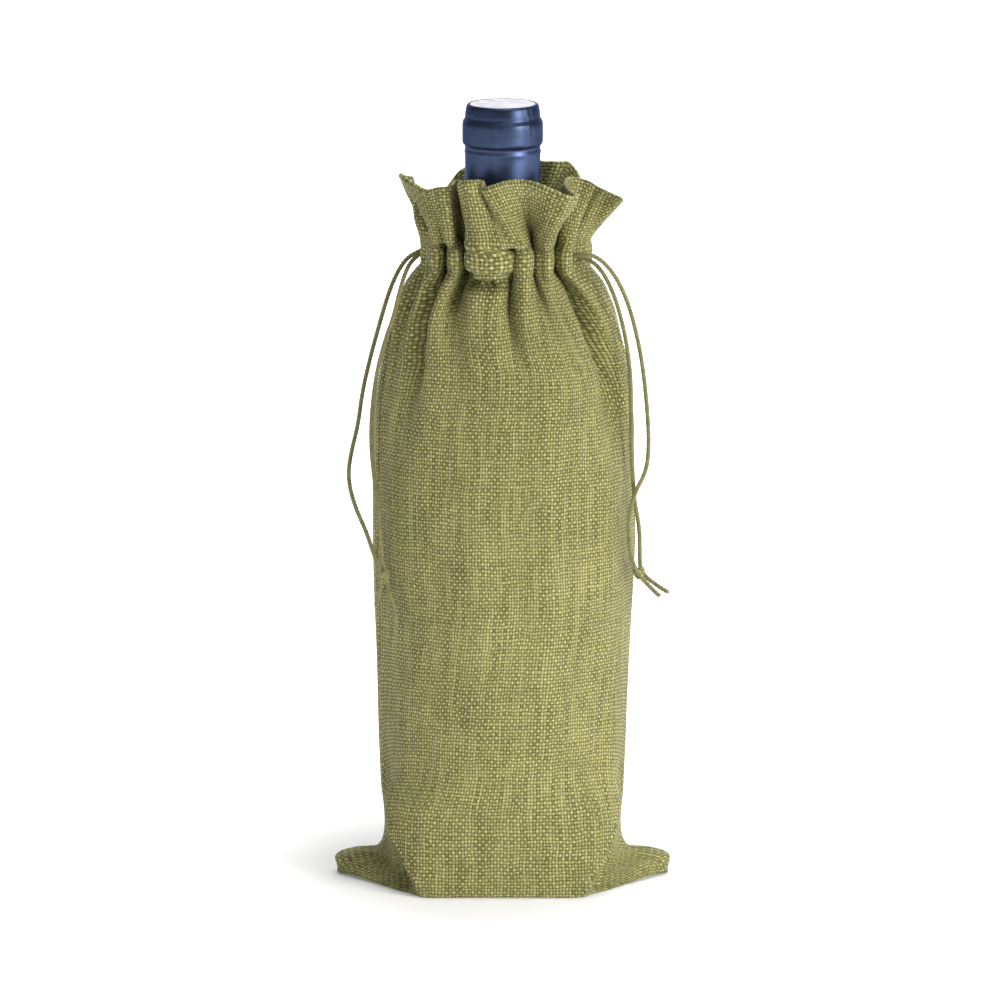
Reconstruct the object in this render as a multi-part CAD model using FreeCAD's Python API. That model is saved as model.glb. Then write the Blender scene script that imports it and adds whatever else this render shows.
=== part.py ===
import FreeCAD, Part
import math
import os

# Cloth gift bag for one 750 ml wine bottle, standing closed around the bottle.
# Millimetres.  +Z is up, the front of the bag faces -Y, and the origin is the
# centre of the base on the surface that the bag stands on.

Vector = FreeCAD.Vector
UP = Vector(0, 0, 1)

# ---------------------------------------------------------------- the cloth bag
CLOTH = 0.9                 # thickness of one layer of cloth
SIDE_CLOTH = 1.3            # the same layer measured along X, where it lies slanted
SHOULDER_Z = 190.0          # the body panels end here and the gathered neck begins
CHANNEL_BOTTOM_Z = 239.0
CHANNEL_TOP_Z = 247.0
RUFFLE_TOP_Z = 272.0
BASE_CREASE_SLOPE = 1.114   # rise over run of the folded corners of the base, in plan

# height, half width, half depth, squareness of the plan (1 hexagon, 0 oval)
BODY_STATIONS = [
    (CLOTH, 66.0, 39.0, 1.00),
    (3.0, 63.0, 39.0, 0.92),
    (6.0, 57.0, 39.0, 0.80),
    (9.0, 51.0, 39.0, 0.62),
    (13.0, 47.0, 39.0, 0.42),
    (20.0, 45.2, 39.0, 0.24),
    (35.0, 46.0, 39.0, 0.08),
    (71.0, 47.2, 39.0, 0.0),
    (106.0, 48.8, 39.0, 0.0),
    (150.0, 49.4, 39.0, 0.0),
    (182.0, 49.4, 39.0, 0.0),
    (SHOULDER_Z, 48.6, 38.8, 0.0),
]
NECK_STATIONS = [
    (SHOULDER_Z, 48.6, 38.8, 0.0),
    (201.0, 46.7, 37.4, 0.0),
    (212.0, 44.6, 34.3, 0.0),
    (223.0, 41.6, 30.3, 0.0),
    (233.0, 37.6, 27.2, 0.0),
    (CHANNEL_BOTTOM_Z, 32.0, 26.0, 0.0),
]
RUFFLE_STATIONS = [
    (CHANNEL_TOP_Z, 32.0, 26.0, 0.0),
    (254.0, 34.4, 28.6, 0.0),
    (262.0, 37.8, 32.2, 0.0),
    (RUFFLE_TOP_Z, 42.0, 36.0, 0.0),
]

PLAN_POINTS = 24            # spans of the spline through half an outline
CORNER_SOFTNESS = 0.45      # per mm, how sharply the base's folded corners turn

SEAM_ALLOWANCE = 8.0
BOTTOM_SEAM_HALF_LENGTH = 50.0

# ---------------------------------------------------------------- cord channel
CHANNEL_HALF_WIDTH = 32.6
CHANNEL_HALF_DEPTH = 26.6
CHANNEL_BUILD = 5.0         # both walls of the channel and the tunnel between them
TUNNEL_BOTTOM_Z = 240.0
TUNNEL_TOP_Z = 246.0
TUNNEL_WIDTH = 3.2
EXIT_HALF_WIDTH = 4.0       # half the opening that the two strands leave by
RIGHT_EXIT_ANGLE = -33.2    # direction of the right opening's outward normal, degrees
RIGHT_EXIT_CENTRE = Vector(28.7, -12.5, 0)
EXIT_CUT_DEPTH = 3.2

# ---------------------------------------------------------------- thread
THREAD_RADIUS = 0.22
STITCH_LENGTH = 2.6
STITCH_COUNT = 44           # stitches in one row round the channel
UPPER_STITCH_Z = 246.5
LOWER_STITCH_Z = 239.5
STITCH_PROUD = 0.05

# ---------------------------------------------------------------- draw cords
CORD_DIAMETER = 1.5
ARC_SHARE = 0.45            # part of the shorter run that an arc takes
LEFT_RING_Z = 241.5
RIGHT_RING_Z = 244.5
OVAL_END_RADIUS = 20.0
OVAL_END_CENTRE = 10.1
OVAL_HALF_DEPTH = 24.1
OVAL_SIDE_RADIUS = (OVAL_END_CENTRE ** 2 + OVAL_HALF_DEPTH ** 2 - OVAL_END_RADIUS ** 2) / (
    2 * (OVAL_HALF_DEPTH - OVAL_END_RADIUS)
)
OVAL_SIDE_CENTRE = OVAL_SIDE_RADIUS - OVAL_HALF_DEPTH
OVAL_JOIN_ANGLE = math.degrees(math.atan2(OVAL_SIDE_CENTRE, OVAL_END_CENTRE))
LEFT_GAP_ANGLE = 14.0       # each side of the left opening, on the end arc
RIGHT_GAP_END_ARC = -20.0
RIGHT_GAP_SIDE_ARC = -49.5
KNOT_RADIUS = 2.6

LEFT_FRONT_ROUTE = [
    (-31.9, -1.6, 242.6),
    (-34.6, -4.0, 240.6),
    (-37.2, -8.6, 235.5),
    (-39.2, -13.6, 229.0),
    (-41.2, -16.6, 220.8),
    (-44.6, -16.2, 211.5),
    (-47.6, -14.0, 199.5),
    (-49.6, -13.4, 185.0),
    (-50.0, -14.2, 171.0),
    (-48.6, -17.6, 158.0),
    (-46.8, -20.8, 147.0),
    (-46.3, -22.2, 136.0),
    (-45.9, -22.6, 128.5),
    (-44.2, -23.0, 122.3),
    (-43.2, -24.4, 116.2),
    (-41.0, -26.6, 110.4),
    (-40.6, -27.6, 105.2),
]
LEFT_REAR_ROUTE = [
    (-31.9, 1.6, 243.2),
    (-35.2, 2.0, 241.6),
    (-39.4, 1.8, 236.2),
    (-43.2, 0.6, 227.6),
    (-46.8, -1.2, 215.5),
    (-50.4, -2.6, 202.5),
    (-53.4, -3.4, 189.5),
    (-55.0, -4.4, 177.0),
    (-57.6, -5.6, 167.0),
    (-59.0, -7.8, 157.5),
    (-56.4, -12.4, 147.5),
    (-51.8, -17.6, 138.5),
    (-48.8, -21.0, 130.0),
    (-46.1, -24.1, 123.3),
    (-46.2, -24.0, 117.2),
    (-48.0, -23.4, 111.8),
]
RIGHT_FRONT_ROUTE = [
    (27.4, -13.6, 243.9),
    (30.6, -15.6, 245.0),
    (35.8, -16.4, 244.0),
    (41.4, -15.0, 238.2),
    (46.2, -13.2, 229.0),
    (49.8, -11.8, 217.5),
    (52.8, -10.8, 203.0),
    (54.6, -10.6, 187.5),
    (55.6, -11.6, 172.5),
    (54.8, -14.0, 161.5),
    (50.4, -18.2, 154.2),
    (47.9, -20.4, 146.0),
    (47.7, -20.0, 136.0),
    (48.9, -17.2, 127.8),
    (51.4, -13.9, 121.2),
    (55.2, -14.4, 117.0),
    (59.4, -16.2, 113.2),
]
RIGHT_REAR_ROUTE = [
    (29.3, -10.9, 242.9),
    (32.8, -12.8, 242.4),
    (37.2, -13.6, 238.6),
    (41.2, -13.8, 231.2),
    (44.4, -14.2, 221.6),
    (46.8, -15.0, 211.0),
    (48.4, -16.0, 198.5),
    (48.7, -17.2, 185.0),
    (48.6, -17.4, 171.5),
    (49.4, -15.0, 159.0),
    (50.2, -12.6, 148.5),
    (52.0, -11.2, 139.0),
    (52.3, -11.2, 130.0),
    (52.3, -12.1, 121.9),
    (57.0, -12.4, 117.3),
    (62.8, -13.4, 113.9),
]
LEFT_KNOT_CENTRE = Vector(-45.1, -23.5, 122.8)
RIGHT_KNOT_CENTRE = Vector(51.9, -13.0, 121.5)

# ---------------------------------------------------------------- the bottle
BOTTLE_BASE_Z = 1.9         # on the base cloth and its seam allowance
BOTTLE_TOP_Z = 299.4
BODY_RADIUS = 36.8
WALL = 2.5
NECK_RADIUS = 13.9
NECK_START_Z = 236.0
SHOULDER_START_Z = 188.0
FINISH_RADIUS = 14.8
FINISH_BOTTOM_Z = 285.0
FINISH_TOP_Z = 293.0
LIP_RADIUS = 13.5
BORE_RADIUS = 9.25
BORE_BOTTOM_Z = 238.0
PUNT_RADIUS = 28.0
PUNT_HEIGHT = 17.0
HEEL_RADIUS = 4.0
FLOOR_GLASS = 5.0
WINE_CLEARANCE = 0.1
WINE_TOP_Z = 236.5
CORK_LENGTH = 44.0
CORK_DEPTH = 1.0            # of the cork's top below the lip

FOIL = 0.3
FOIL_CLEARANCE = 0.05
FOIL_BOTTOM_Z = 240.0
TOTAL_HEIGHT = 300.0
DISC_RADIUS = 12.5
DISC_THICKNESS = 0.45
DISC_BEVEL = 0.12


def save(shape, name):
    """Write one sub-part and print its volume, so that a bad solid shows."""
    print(f"{name:34s} solids {len(shape.Solids):3d}  volume {shape.Volume:10.1f}  valid {shape.isValid()}")
    shape.exportStep(f"parts/{name}.step")


# ---------------------------------------------------------------- cloth panels
def soft_minimum(first, second):
    """The smaller of two lengths, rounded where they are nearly equal."""
    low = min(first, second)
    spread = abs(first - second)
    return low - math.log(1.0 + math.exp(-CORNER_SOFTNESS * spread)) / (2.0 * CORNER_SOFTNESS)


def outline_depth(x, half_width, half_depth, squareness):
    """How far the outline stands from the middle plane at one place across."""
    share = min(1.0, abs(x) / half_width)
    oval = half_depth * math.sqrt(1.0 - share * share)
    room = half_width - abs(x)
    folded = max(0.0, soft_minimum(half_depth, BASE_CREASE_SLOPE * room))
    return squareness * folded + (1.0 - squareness) * oval


def outline_edge(z, half_width, half_depth, squareness, side, end_depth=0.0):
    """Half an outline from the left seam to the right seam, side -1 front, +1 back."""
    points = []
    for index in range(PLAN_POINTS + 1):
        angle = math.pi * (index / PLAN_POINTS - 0.5)
        x = (half_width - squareness * end_depth) * math.sin(angle)
        inside = 0 < index < PLAN_POINTS
        depth = outline_depth(x, half_width, half_depth, squareness) if inside else end_depth
        points.append(Vector(x, side * max(depth, end_depth), z))
    curve = Part.BSplineCurve()
    curve.interpolate(points)
    return curve.toShape()


def straight_edges(points):
    return [Part.LineSegment(start, end).toShape() for start, end in zip(points, points[1:])]


def layer_section(station, thickness, side, allowance):
    """Closed section of one layer of cloth at one height, with its two seam allowances."""
    z, half_width, half_depth, squareness = station
    inside = half_width - thickness * SIDE_CLOTH / CLOTH
    end_depth = thickness if allowance else 0.0
    outer = outline_edge(z, half_width, half_depth, squareness, side)
    inner = outline_edge(z, inside, half_depth - thickness, squareness, side, end_depth)
    seam_ends = []
    for hand in (1, -1):
        inner_end = Vector(hand * (inside - squareness * end_depth), side * end_depth, z)
        path = [Vector(hand * half_width, 0, z)]
        if allowance:
            path.append(Vector(hand * (half_width - allowance), 0, z))
            path.append(Vector(hand * (half_width - allowance), side * thickness, z))
        seam_ends.append(path + [inner_end])
    right = straight_edges(seam_ends[0])
    left = straight_edges(seam_ends[1][::-1])
    return Part.Wire([outer] + right + [inner] + left)


def cloth_wall(stations, thickness, side, allowance=0.0):
    sections = [layer_section(station, thickness, side, allowance) for station in stations]
    return Part.makeLoft(sections, True, True)


def half_base(side):
    """The cloth under the bottle, from the bottom seam to the folded edge."""
    half_width, half_depth, squareness = BODY_STATIONS[0][1:]
    edge = outline_edge(0.0, half_width, half_depth, squareness, side)
    seam = Part.LineSegment(Vector(half_width, 0, 0), Vector(-half_width, 0, 0)).toShape()
    return Part.Face(Part.Wire([edge, seam])).extrude(UP * CLOTH)


def half_width_at(z):
    """Half width of the body at a height, between the stations."""
    for low, high in zip(BODY_STATIONS, BODY_STATIONS[1:]):
        if low[0] <= z <= high[0]:
            share = (z - low[0]) / (high[0] - low[0])
            return low[1] + share * (high[1] - low[1])
    raise ValueError(f"no station at {z}")


def bottom_allowance(side):
    """The strip of cloth inside the bottom seam, pressed flat on the base."""
    start_y = 0.0 if side > 0 else -SEAM_ALLOWANCE
    corner = Vector(-BOTTOM_SEAM_HALF_LENGTH, start_y, CLOTH)
    return Part.makeBox(2 * BOTTOM_SEAM_HALF_LENGTH, SEAM_ALLOWANCE, CLOTH, corner)


def body_panel(side):
    wall = cloth_wall(BODY_STATIONS, CLOTH, side, SEAM_ALLOWANCE)
    return wall.fuse([half_base(side), bottom_allowance(side)]).removeSplitter()


# ---------------------------------------------------------------- gathered neck
def oval_plate(half_width, half_depth, bottom_z, height):
    ellipse = Part.Ellipse(Vector(0, 0, bottom_z), half_width, half_depth)
    return Part.Face(Part.Wire(ellipse.toShape())).extrude(UP * height)


def oval_ring(half_width, half_depth, build, bottom_z, height):
    outer = oval_plate(half_width, half_depth, bottom_z, height)
    return outer.cut(oval_plate(half_width - build, half_depth - build, bottom_z, height))


def exit_cut(centre, angle):
    """Opening through the channel's outer wall, centred on the two strands."""
    height = TUNNEL_TOP_Z - TUNNEL_BOTTOM_Z
    corner = Vector(-EXIT_CUT_DEPTH / 2, -EXIT_HALF_WIDTH, 0)
    box = Part.makeBox(EXIT_CUT_DEPTH, 2 * EXIT_HALF_WIDTH, height, corner)
    box.rotate(Vector(0, 0, 0), UP, angle)
    box.translate(Vector(centre.x, centre.y, TUNNEL_BOTTOM_Z))
    return box


def cord_channel(side):
    """The stitched channel round the neck, open inside for the two draw cords."""
    height = CHANNEL_TOP_Z - CHANNEL_BOTTOM_Z
    block = oval_ring(CHANNEL_HALF_WIDTH, CHANNEL_HALF_DEPTH, CHANNEL_BUILD, CHANNEL_BOTTOM_Z, height)
    tunnel_height = TUNNEL_TOP_Z - TUNNEL_BOTTOM_Z
    tunnel = oval_ring(
        CHANNEL_HALF_WIDTH - CLOTH, CHANNEL_HALF_DEPTH - CLOTH, TUNNEL_WIDTH, TUNNEL_BOTTOM_Z, tunnel_height
    )
    channel = block.cut(tunnel)
    channel = channel.cut(exit_cut(Vector(-CHANNEL_HALF_WIDTH, 0, 0), 180.0))
    channel = channel.cut(exit_cut(RIGHT_EXIT_CENTRE, RIGHT_EXIT_ANGLE))
    reach = 2 * CHANNEL_HALF_WIDTH
    start_y = 0.0 if side > 0 else -reach
    half = Part.makeBox(2 * reach, reach, 2 * height, Vector(-reach, start_y, CHANNEL_BOTTOM_Z - height / 2))
    return channel.common(half)


def neck_panel(side):
    wall = cloth_wall(NECK_STATIONS, CLOTH, side)
    ruffle = cloth_wall(RUFFLE_STATIONS, 2 * CLOTH, side)
    return cord_channel(side).fuse([wall, ruffle]).removeSplitter()


# ---------------------------------------------------------------- thread
def stitch_row(z):
    """One row of separate stitches, each lying along the channel's surface."""
    stitches = []
    for index in range(STITCH_COUNT):
        angle = 2 * math.pi * (index + 0.5) / STITCH_COUNT
        across = CHANNEL_HALF_WIDTH + STITCH_PROUD
        along = CHANNEL_HALF_DEPTH + STITCH_PROUD
        centre = Vector(across * math.cos(angle), along * math.sin(angle), z)
        direction = Vector(-across * math.sin(angle), along * math.cos(angle), 0).normalize()
        start = centre - direction * (STITCH_LENGTH / 2)
        stitches.append(Part.makeCylinder(THREAD_RADIUS, STITCH_LENGTH, start, direction))
    return Part.makeCompound(stitches)


def side_seam_thread(hand):
    """The line of thread that closes one side seam, between the two seam allowances."""
    inset = SEAM_ALLOWANCE / 4
    points = [Vector(hand * (half_width_at(station[0]) - inset), 0, station[0]) for station in BODY_STATIONS]
    pieces = []
    for start, end in zip(points, points[1:]):
        run = end - start
        pieces.append(Part.makeCylinder(THREAD_RADIUS, run.Length, start, run))
    for joint in points[1:-1]:
        pieces.append(Part.makeSphere(THREAD_RADIUS, joint))
    return pieces[0].fuse(pieces[1:])


def bottom_seam_thread():
    start = Vector(-BOTTOM_SEAM_HALF_LENGTH, 0, CLOTH / 2)
    return Part.makeCylinder(THREAD_RADIUS, 2 * BOTTOM_SEAM_HALF_LENGTH, start, Vector(1, 0, 0))


# ---------------------------------------------------------------- draw cords
def oval_point(centre, radius, angle, z):
    turn = math.radians(angle)
    return Vector(centre.x + radius * math.cos(turn), centre.y + radius * math.sin(turn), z)


def oval_arc(centre, radius, start, end, z):
    middle = (start + end) / 2
    ends = [oval_point(centre, radius, angle, z) for angle in (start, middle, end)]
    return Part.Arc(*ends).toShape()


def sweep_round(wire, diameter):
    first = wire.OrderedEdges[0]
    start = first.valueAt(first.FirstParameter)
    direction = first.tangentAt(first.FirstParameter)
    circle = Part.Circle(start, direction, diameter / 2).toShape()
    return wire.makePipe(Part.Face(Part.Wire(circle)))


def left_channel_cord():
    """The left cord round the neck inside the channel, open at the left opening."""
    join = OVAL_JOIN_ANGLE
    left = Vector(-OVAL_END_CENTRE, 0, 0)
    right = Vector(OVAL_END_CENTRE, 0, 0)
    front = Vector(0, OVAL_SIDE_CENTRE, 0)
    back = Vector(0, -OVAL_SIDE_CENTRE, 0)
    z = LEFT_RING_Z
    edges = [
        oval_arc(left, OVAL_END_RADIUS, 180 + LEFT_GAP_ANGLE, 180 + join, z),
        oval_arc(front, OVAL_SIDE_RADIUS, 180 + join, 360 - join, z),
        oval_arc(right, OVAL_END_RADIUS, 360 - join, 360 + join, z),
        oval_arc(back, OVAL_SIDE_RADIUS, join, 180 - join, z),
        oval_arc(left, OVAL_END_RADIUS, 180 - join, 180 - LEFT_GAP_ANGLE, z),
    ]
    return sweep_round(Part.Wire(edges), CORD_DIAMETER)


def right_channel_cord():
    """The right cord round the neck inside the channel, open at the right opening."""
    join = OVAL_JOIN_ANGLE
    left = Vector(-OVAL_END_CENTRE, 0, 0)
    right = Vector(OVAL_END_CENTRE, 0, 0)
    front = Vector(0, OVAL_SIDE_CENTRE, 0)
    back = Vector(0, -OVAL_SIDE_CENTRE, 0)
    z = RIGHT_RING_Z
    edges = [
        oval_arc(right, OVAL_END_RADIUS, RIGHT_GAP_END_ARC, join, z),
        oval_arc(back, OVAL_SIDE_RADIUS, join, 180 - join, z),
        oval_arc(left, OVAL_END_RADIUS, 180 - join, 180 + join, z),
        oval_arc(front, OVAL_SIDE_RADIUS, 180 + join, 360 + RIGHT_GAP_SIDE_ARC, z),
    ]
    return sweep_round(Part.Wire(edges), CORD_DIAMETER)


def cord_tube(route, diameter, name):
    """Straight runs joined by tangent arcs, each arc as large as its runs allow."""
    points = [Vector(*point) for point in route]
    edges = []
    radii = []
    last = points[0]
    for before, corner, after in zip(points, points[1:], points[2:]):
        back = before - corner
        ahead = after - corner
        turn = math.pi - back.getAngle(ahead)
        reach = ARC_SHARE * min(back.Length, ahead.Length)
        radii.append(reach / math.tan(turn / 2))
        start = corner + back.normalize() * reach
        end = corner + ahead.normalize() * reach
        bisector = (back + ahead).normalize()
        to_centre = radii[-1] / math.cos(turn / 2)
        middle = corner + bisector * (to_centre - radii[-1])
        edges.append(Part.LineSegment(last, start).toShape())
        edges.append(Part.Arc(start, middle, end).toShape())
        last = end
    edges.append(Part.LineSegment(last, points[-1]).toShape())
    path = Part.Wire(edges)
    tube = sweep_round(path, diameter)
    expected = path.Length * math.pi * diameter ** 2 / 4
    smallest = ", ".join(f"{radius:.0f}" for radius in radii)
    print(f"{name}: length {path.Length:.1f}, volume / expected {tube.Volume / expected:.4f}, radii {smallest}")
    return tube


def knot(centre, strands):
    """A pulled-tight overhand knot round the two strands of one cord."""
    return Part.makeSphere(KNOT_RADIUS, centre).cut(strands)


# ---------------------------------------------------------------- the bottle
def revolve(edges):
    face = Part.Face(Part.Wire(edges))
    return face.revolve(Vector(0, 0, 0), UP, 360)


def line(start, end):
    return Part.LineSegment(Vector(start[0], 0, start[1]), Vector(end[0], 0, end[1])).toShape()


def arc(start, middle, end):
    ends = [Vector(radius, 0, z) for radius, z in (start, middle, end)]
    return Part.Arc(*ends).toShape()


def spline(points):
    curve = Part.BSplineCurve()
    curve.interpolate([Vector(radius, 0, z) for radius, z in points])
    return curve.toShape()


def polyline(points):
    return [line(start, end) for start, end in zip(points, points[1:])]


def outer_shoulder():
    """Shoulder from the body's radius in to the neck's."""
    return [
        (BODY_RADIUS, SHOULDER_START_Z),
        (34.9, 200.5),
        (28.6, 210.5),
        (20.2, 218.5),
        (15.3, 226.5),
        (NECK_RADIUS, NECK_START_Z),
    ]


def inner_shoulder(gap):
    return [
        (BODY_RADIUS - WALL - gap, SHOULDER_START_Z - gap),
        (32.2 - gap, 199.5 - gap),
        (26.1 - gap, 208.8 - gap),
        (17.9 - gap, 216.3 - gap),
        (12.5 - gap, 224.9 - gap),
        (BORE_RADIUS + 1.0 - gap, NECK_START_Z - 1.0 - gap),
    ]


def cavity_floor(gap):
    """Inside of the base: a dome over the punt, a ring and the curve of the heel."""
    floor_z = BOTTLE_BASE_Z + FLOOR_GLASS + gap
    dome_z = BOTTLE_BASE_Z + PUNT_HEIGHT + FLOOR_GLASS + gap
    inside = BODY_RADIUS - WALL - gap
    ring = PUNT_RADIUS + 1.0
    dome = arc((0, dome_z), (ring * 0.55, floor_z + 0.66 * (dome_z - floor_z)), (ring, floor_z))
    heel = line((ring, floor_z), (inside, floor_z + HEEL_RADIUS))
    return [dome, heel]


def bottle_glass():
    base = BOTTLE_BASE_Z
    heel_middle = HEEL_RADIUS * (1 - math.sqrt(0.5))
    punt = arc((0, base + PUNT_HEIGHT), (PUNT_RADIUS * 0.55, base + 0.66 * PUNT_HEIGHT), (PUNT_RADIUS, base))
    heel = arc(
        (BODY_RADIUS - HEEL_RADIUS, base),
        (BODY_RADIUS - heel_middle, base + heel_middle),
        (BODY_RADIUS, base + HEEL_RADIUS),
    )
    edges = [punt, line((PUNT_RADIUS, base), (BODY_RADIUS - HEEL_RADIUS, base)), heel]
    edges.append(line((BODY_RADIUS, base + HEEL_RADIUS), (BODY_RADIUS, SHOULDER_START_Z)))
    edges.append(spline(outer_shoulder()))
    edges += polyline([
        (NECK_RADIUS, NECK_START_Z),
        (NECK_RADIUS, FINISH_BOTTOM_Z - 1.2),
        (FINISH_RADIUS, FINISH_BOTTOM_Z),
        (FINISH_RADIUS, FINISH_TOP_Z),
        (NECK_RADIUS, FINISH_TOP_Z + 1.2),
        (LIP_RADIUS, BOTTLE_TOP_Z - 1.5),
        (LIP_RADIUS - 0.9, BOTTLE_TOP_Z),
        (BORE_RADIUS, BOTTLE_TOP_Z),
        (BORE_RADIUS, BORE_BOTTOM_Z),
        (BORE_RADIUS + 1.0, NECK_START_Z - 1.0),
    ])
    edges.append(spline(inner_shoulder(0.0)))
    inside = BODY_RADIUS - WALL
    heel_z = base + FLOOR_GLASS + HEEL_RADIUS
    edges.append(line((inside, SHOULDER_START_Z), (inside, heel_z)))
    edges += cavity_floor(0.0)
    edges.append(line((0, base + PUNT_HEIGHT), (0, base + PUNT_HEIGHT + FLOOR_GLASS)))
    return revolve(Part.__sortEdges__(edges))


def wine():
    """The liquid, which fills the bottle to a little below the cork."""
    gap = WINE_CLEARANCE
    inside = BODY_RADIUS - WALL - gap
    neck = BORE_RADIUS + 1.0 - gap
    top_radius = neck - 1.0
    shoulder = inner_shoulder(gap)
    heel_z = BOTTLE_BASE_Z + FLOOR_GLASS + gap + HEEL_RADIUS
    dome_z = BOTTLE_BASE_Z + PUNT_HEIGHT + FLOOR_GLASS + gap
    edges = cavity_floor(gap)
    edges.append(line((inside, heel_z), shoulder[0]))
    edges.append(spline(shoulder))
    edges += polyline([shoulder[-1], (top_radius, WINE_TOP_Z), (0, WINE_TOP_Z), (0, dome_z)])
    return revolve(Part.__sortEdges__(edges))


def cork():
    top_z = BOTTLE_TOP_Z - CORK_DEPTH
    return Part.makeCylinder(BORE_RADIUS, CORK_LENGTH, Vector(0, 0, top_z - CORK_LENGTH))


def foil_profile(inset):
    """Outline of the capsule from its lower edge to its top edge."""
    neck = NECK_RADIUS + FOIL_CLEARANCE + FOIL - inset
    finish = FINISH_RADIUS + FOIL_CLEARANCE + FOIL - inset
    lip = LIP_RADIUS + FOIL_CLEARANCE + FOIL - inset
    return [
        (neck, FOIL_BOTTOM_Z),
        (neck, FINISH_BOTTOM_Z - 1.3),
        (finish, FINISH_BOTTOM_Z - 0.1),
        (finish, FINISH_TOP_Z + 0.1),
        (neck, FINISH_TOP_Z + 1.3),
        (lip, BOTTLE_TOP_Z - 1.45),
        (lip - 0.55, TOTAL_HEIGHT),
    ]


def capsule_sleeve():
    outer = foil_profile(0.0)
    inner = foil_profile(FOIL)
    points = outer + inner[::-1] + outer[:1]
    return revolve(polyline(points))


def capsule_top_disc():
    """The plain round top of the capsule, lying on the bottle's lip."""
    bottom = TOTAL_HEIGHT - DISC_THICKNESS - 0.1
    points = [
        (0, bottom),
        (DISC_RADIUS, bottom),
        (DISC_RADIUS, bottom + DISC_THICKNESS - DISC_BEVEL),
        (DISC_RADIUS - DISC_BEVEL, bottom + DISC_THICKNESS),
        (0, bottom + DISC_THICKNESS),
        (0, bottom),
    ]
    return revolve(polyline(points))


# ---------------------------------------------------------------- write them all
os.makedirs("parts", exist_ok=True)

for label, side in (("front", -1), ("back", 1)):
    save(body_panel(side), f"{label}_panel")
    save(neck_panel(side), f"{label}_neck")

save(side_seam_thread(-1), "left_side_seam_thread")
save(side_seam_thread(1), "right_side_seam_thread")
save(bottom_seam_thread(), "bottom_seam_thread")
save(stitch_row(UPPER_STITCH_Z), "upper_channel_stitching")
save(stitch_row(LOWER_STITCH_Z), "lower_channel_stitching")

save(left_channel_cord(), "left_drawcord_in_channel")
save(right_channel_cord(), "right_drawcord_in_channel")

for label, front_route, rear_route, knot_centre in (
    ("left", LEFT_FRONT_ROUTE, LEFT_REAR_ROUTE, LEFT_KNOT_CENTRE),
    ("right", RIGHT_FRONT_ROUTE, RIGHT_REAR_ROUTE, RIGHT_KNOT_CENTRE),
):
    front_strand = cord_tube(front_route, CORD_DIAMETER, f"{label} front strand")
    rear_strand = cord_tube(rear_route, CORD_DIAMETER, f"{label} rear strand")
    save(front_strand, f"{label}_drawcord_front_strand")
    save(rear_strand, f"{label}_drawcord_rear_strand")
    save(knot(knot_centre, [front_strand, rear_strand]), f"{label}_knot")

save(bottle_glass(), "bottle_glass")
save(wine(), "wine")
save(cork(), "cork")
save(capsule_sleeve(), "capsule_sleeve")
save(capsule_top_disc(), "capsule_top_disc")
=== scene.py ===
import math

import bpy
import numpy as np
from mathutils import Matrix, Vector


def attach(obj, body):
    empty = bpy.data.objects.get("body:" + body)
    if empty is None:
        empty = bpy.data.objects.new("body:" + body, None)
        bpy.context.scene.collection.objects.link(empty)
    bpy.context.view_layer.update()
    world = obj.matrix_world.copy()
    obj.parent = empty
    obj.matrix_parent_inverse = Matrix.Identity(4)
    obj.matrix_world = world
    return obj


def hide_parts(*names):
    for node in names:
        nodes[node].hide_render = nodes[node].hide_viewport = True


# Cloth gift bag closed round a wine bottle.  Metres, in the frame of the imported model:
# +Z is up, the front of the bag faces -Y, and the bag stands on z = 0.
# A place on the cloth is (c, v).  c runs once round the bag from the left side seam along
# the front to the right side seam and back along the rear.  v is the cloth's own height,
# measured up from the crease between base and wall, and it is negative on the base.

# ------------------------------------------------------------------ the cloth
PANEL = 0.142               # finished width of one panel, between the side seams
LOOP = 2 * PANEL
COLUMNS = 284               # columns of the mesh round the bag
CLOTH = 0.0009              # thickness of one layer
HALF_CLOTH = CLOTH / 2
BASE_DEPTH = 0.039
SHOULDER_Z = 0.190          # below this height v equals z
SLANT = 1.06                # cloth length over height on the gathered shoulder
CHANNEL_LOW_Z = 0.2388
CHANNEL_TOP_Z = 0.2470
CHANNEL_LOW_V = 0.2417
CHANNEL_TOP_V = 0.2501
FOOT_Z = 0.2495
FOOT_V = 0.2530
RUFFLE_TOP_V = 0.2780
HEM_END_V = 0.2400          # the hem's inner layer ends here, below the channel
HEM_GAP = 0.0011            # between the middle surfaces of the two layers
FOLD_STEP = 0.0003          # cloth from row to row where the hem turns over
CHANNEL_PUFF = 0.0026       # how far the two cords push out the outer layer where it is full
ROW_STEP = 0.001
SEAM_RIDGE = (0.0005, 0.0016)       # height and half width, at each side of a side seam
SEAM_RIDGE_OFFSET = 0.003
SEAM_GROOVE = (0.0009, 0.0009)      # depth and half width, along the seam
PUCKER_HEIGHT = 0.00035
PUCKER_WIDTH = 0.0011
PUCKER_REACH = 0.005                # above and below each row of stitches
CREASE = (0.0011, 0.0017)           # height and half width of the crease up a corner of the base
HOLLOW = (0.0026, 0.0042)           # depth and half width of the hollow behind it
HOLLOW_OFFSET = 0.0075
STITCH_DENT = (0.0005, 0.0009)      # depth and half width of the dent along a row of stitches
TUCK_DEPTH = 0.0070                 # how far the cloth goes in under the channel's fullest part
TUCK_BELOW = 0.0028                 # below the lower row of stitches
TUCK_WIDTH = 0.0030
SEAM_LINE_Z = 0.0006                # height of the seam across the base
SEAM_LINE_STRETCH = 0.066 / 0.0655  # half width of the seam's line over that of the crease
BASE_SHARES = [0.0, 0.3, 0.6, 0.85, 0.985]  # places of the base's rows, from its seam to its crease
WARP_PITCH = 1.23           # millimetres of cloth per thread, across and up
WEFT_PITCH = 1.35

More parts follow.
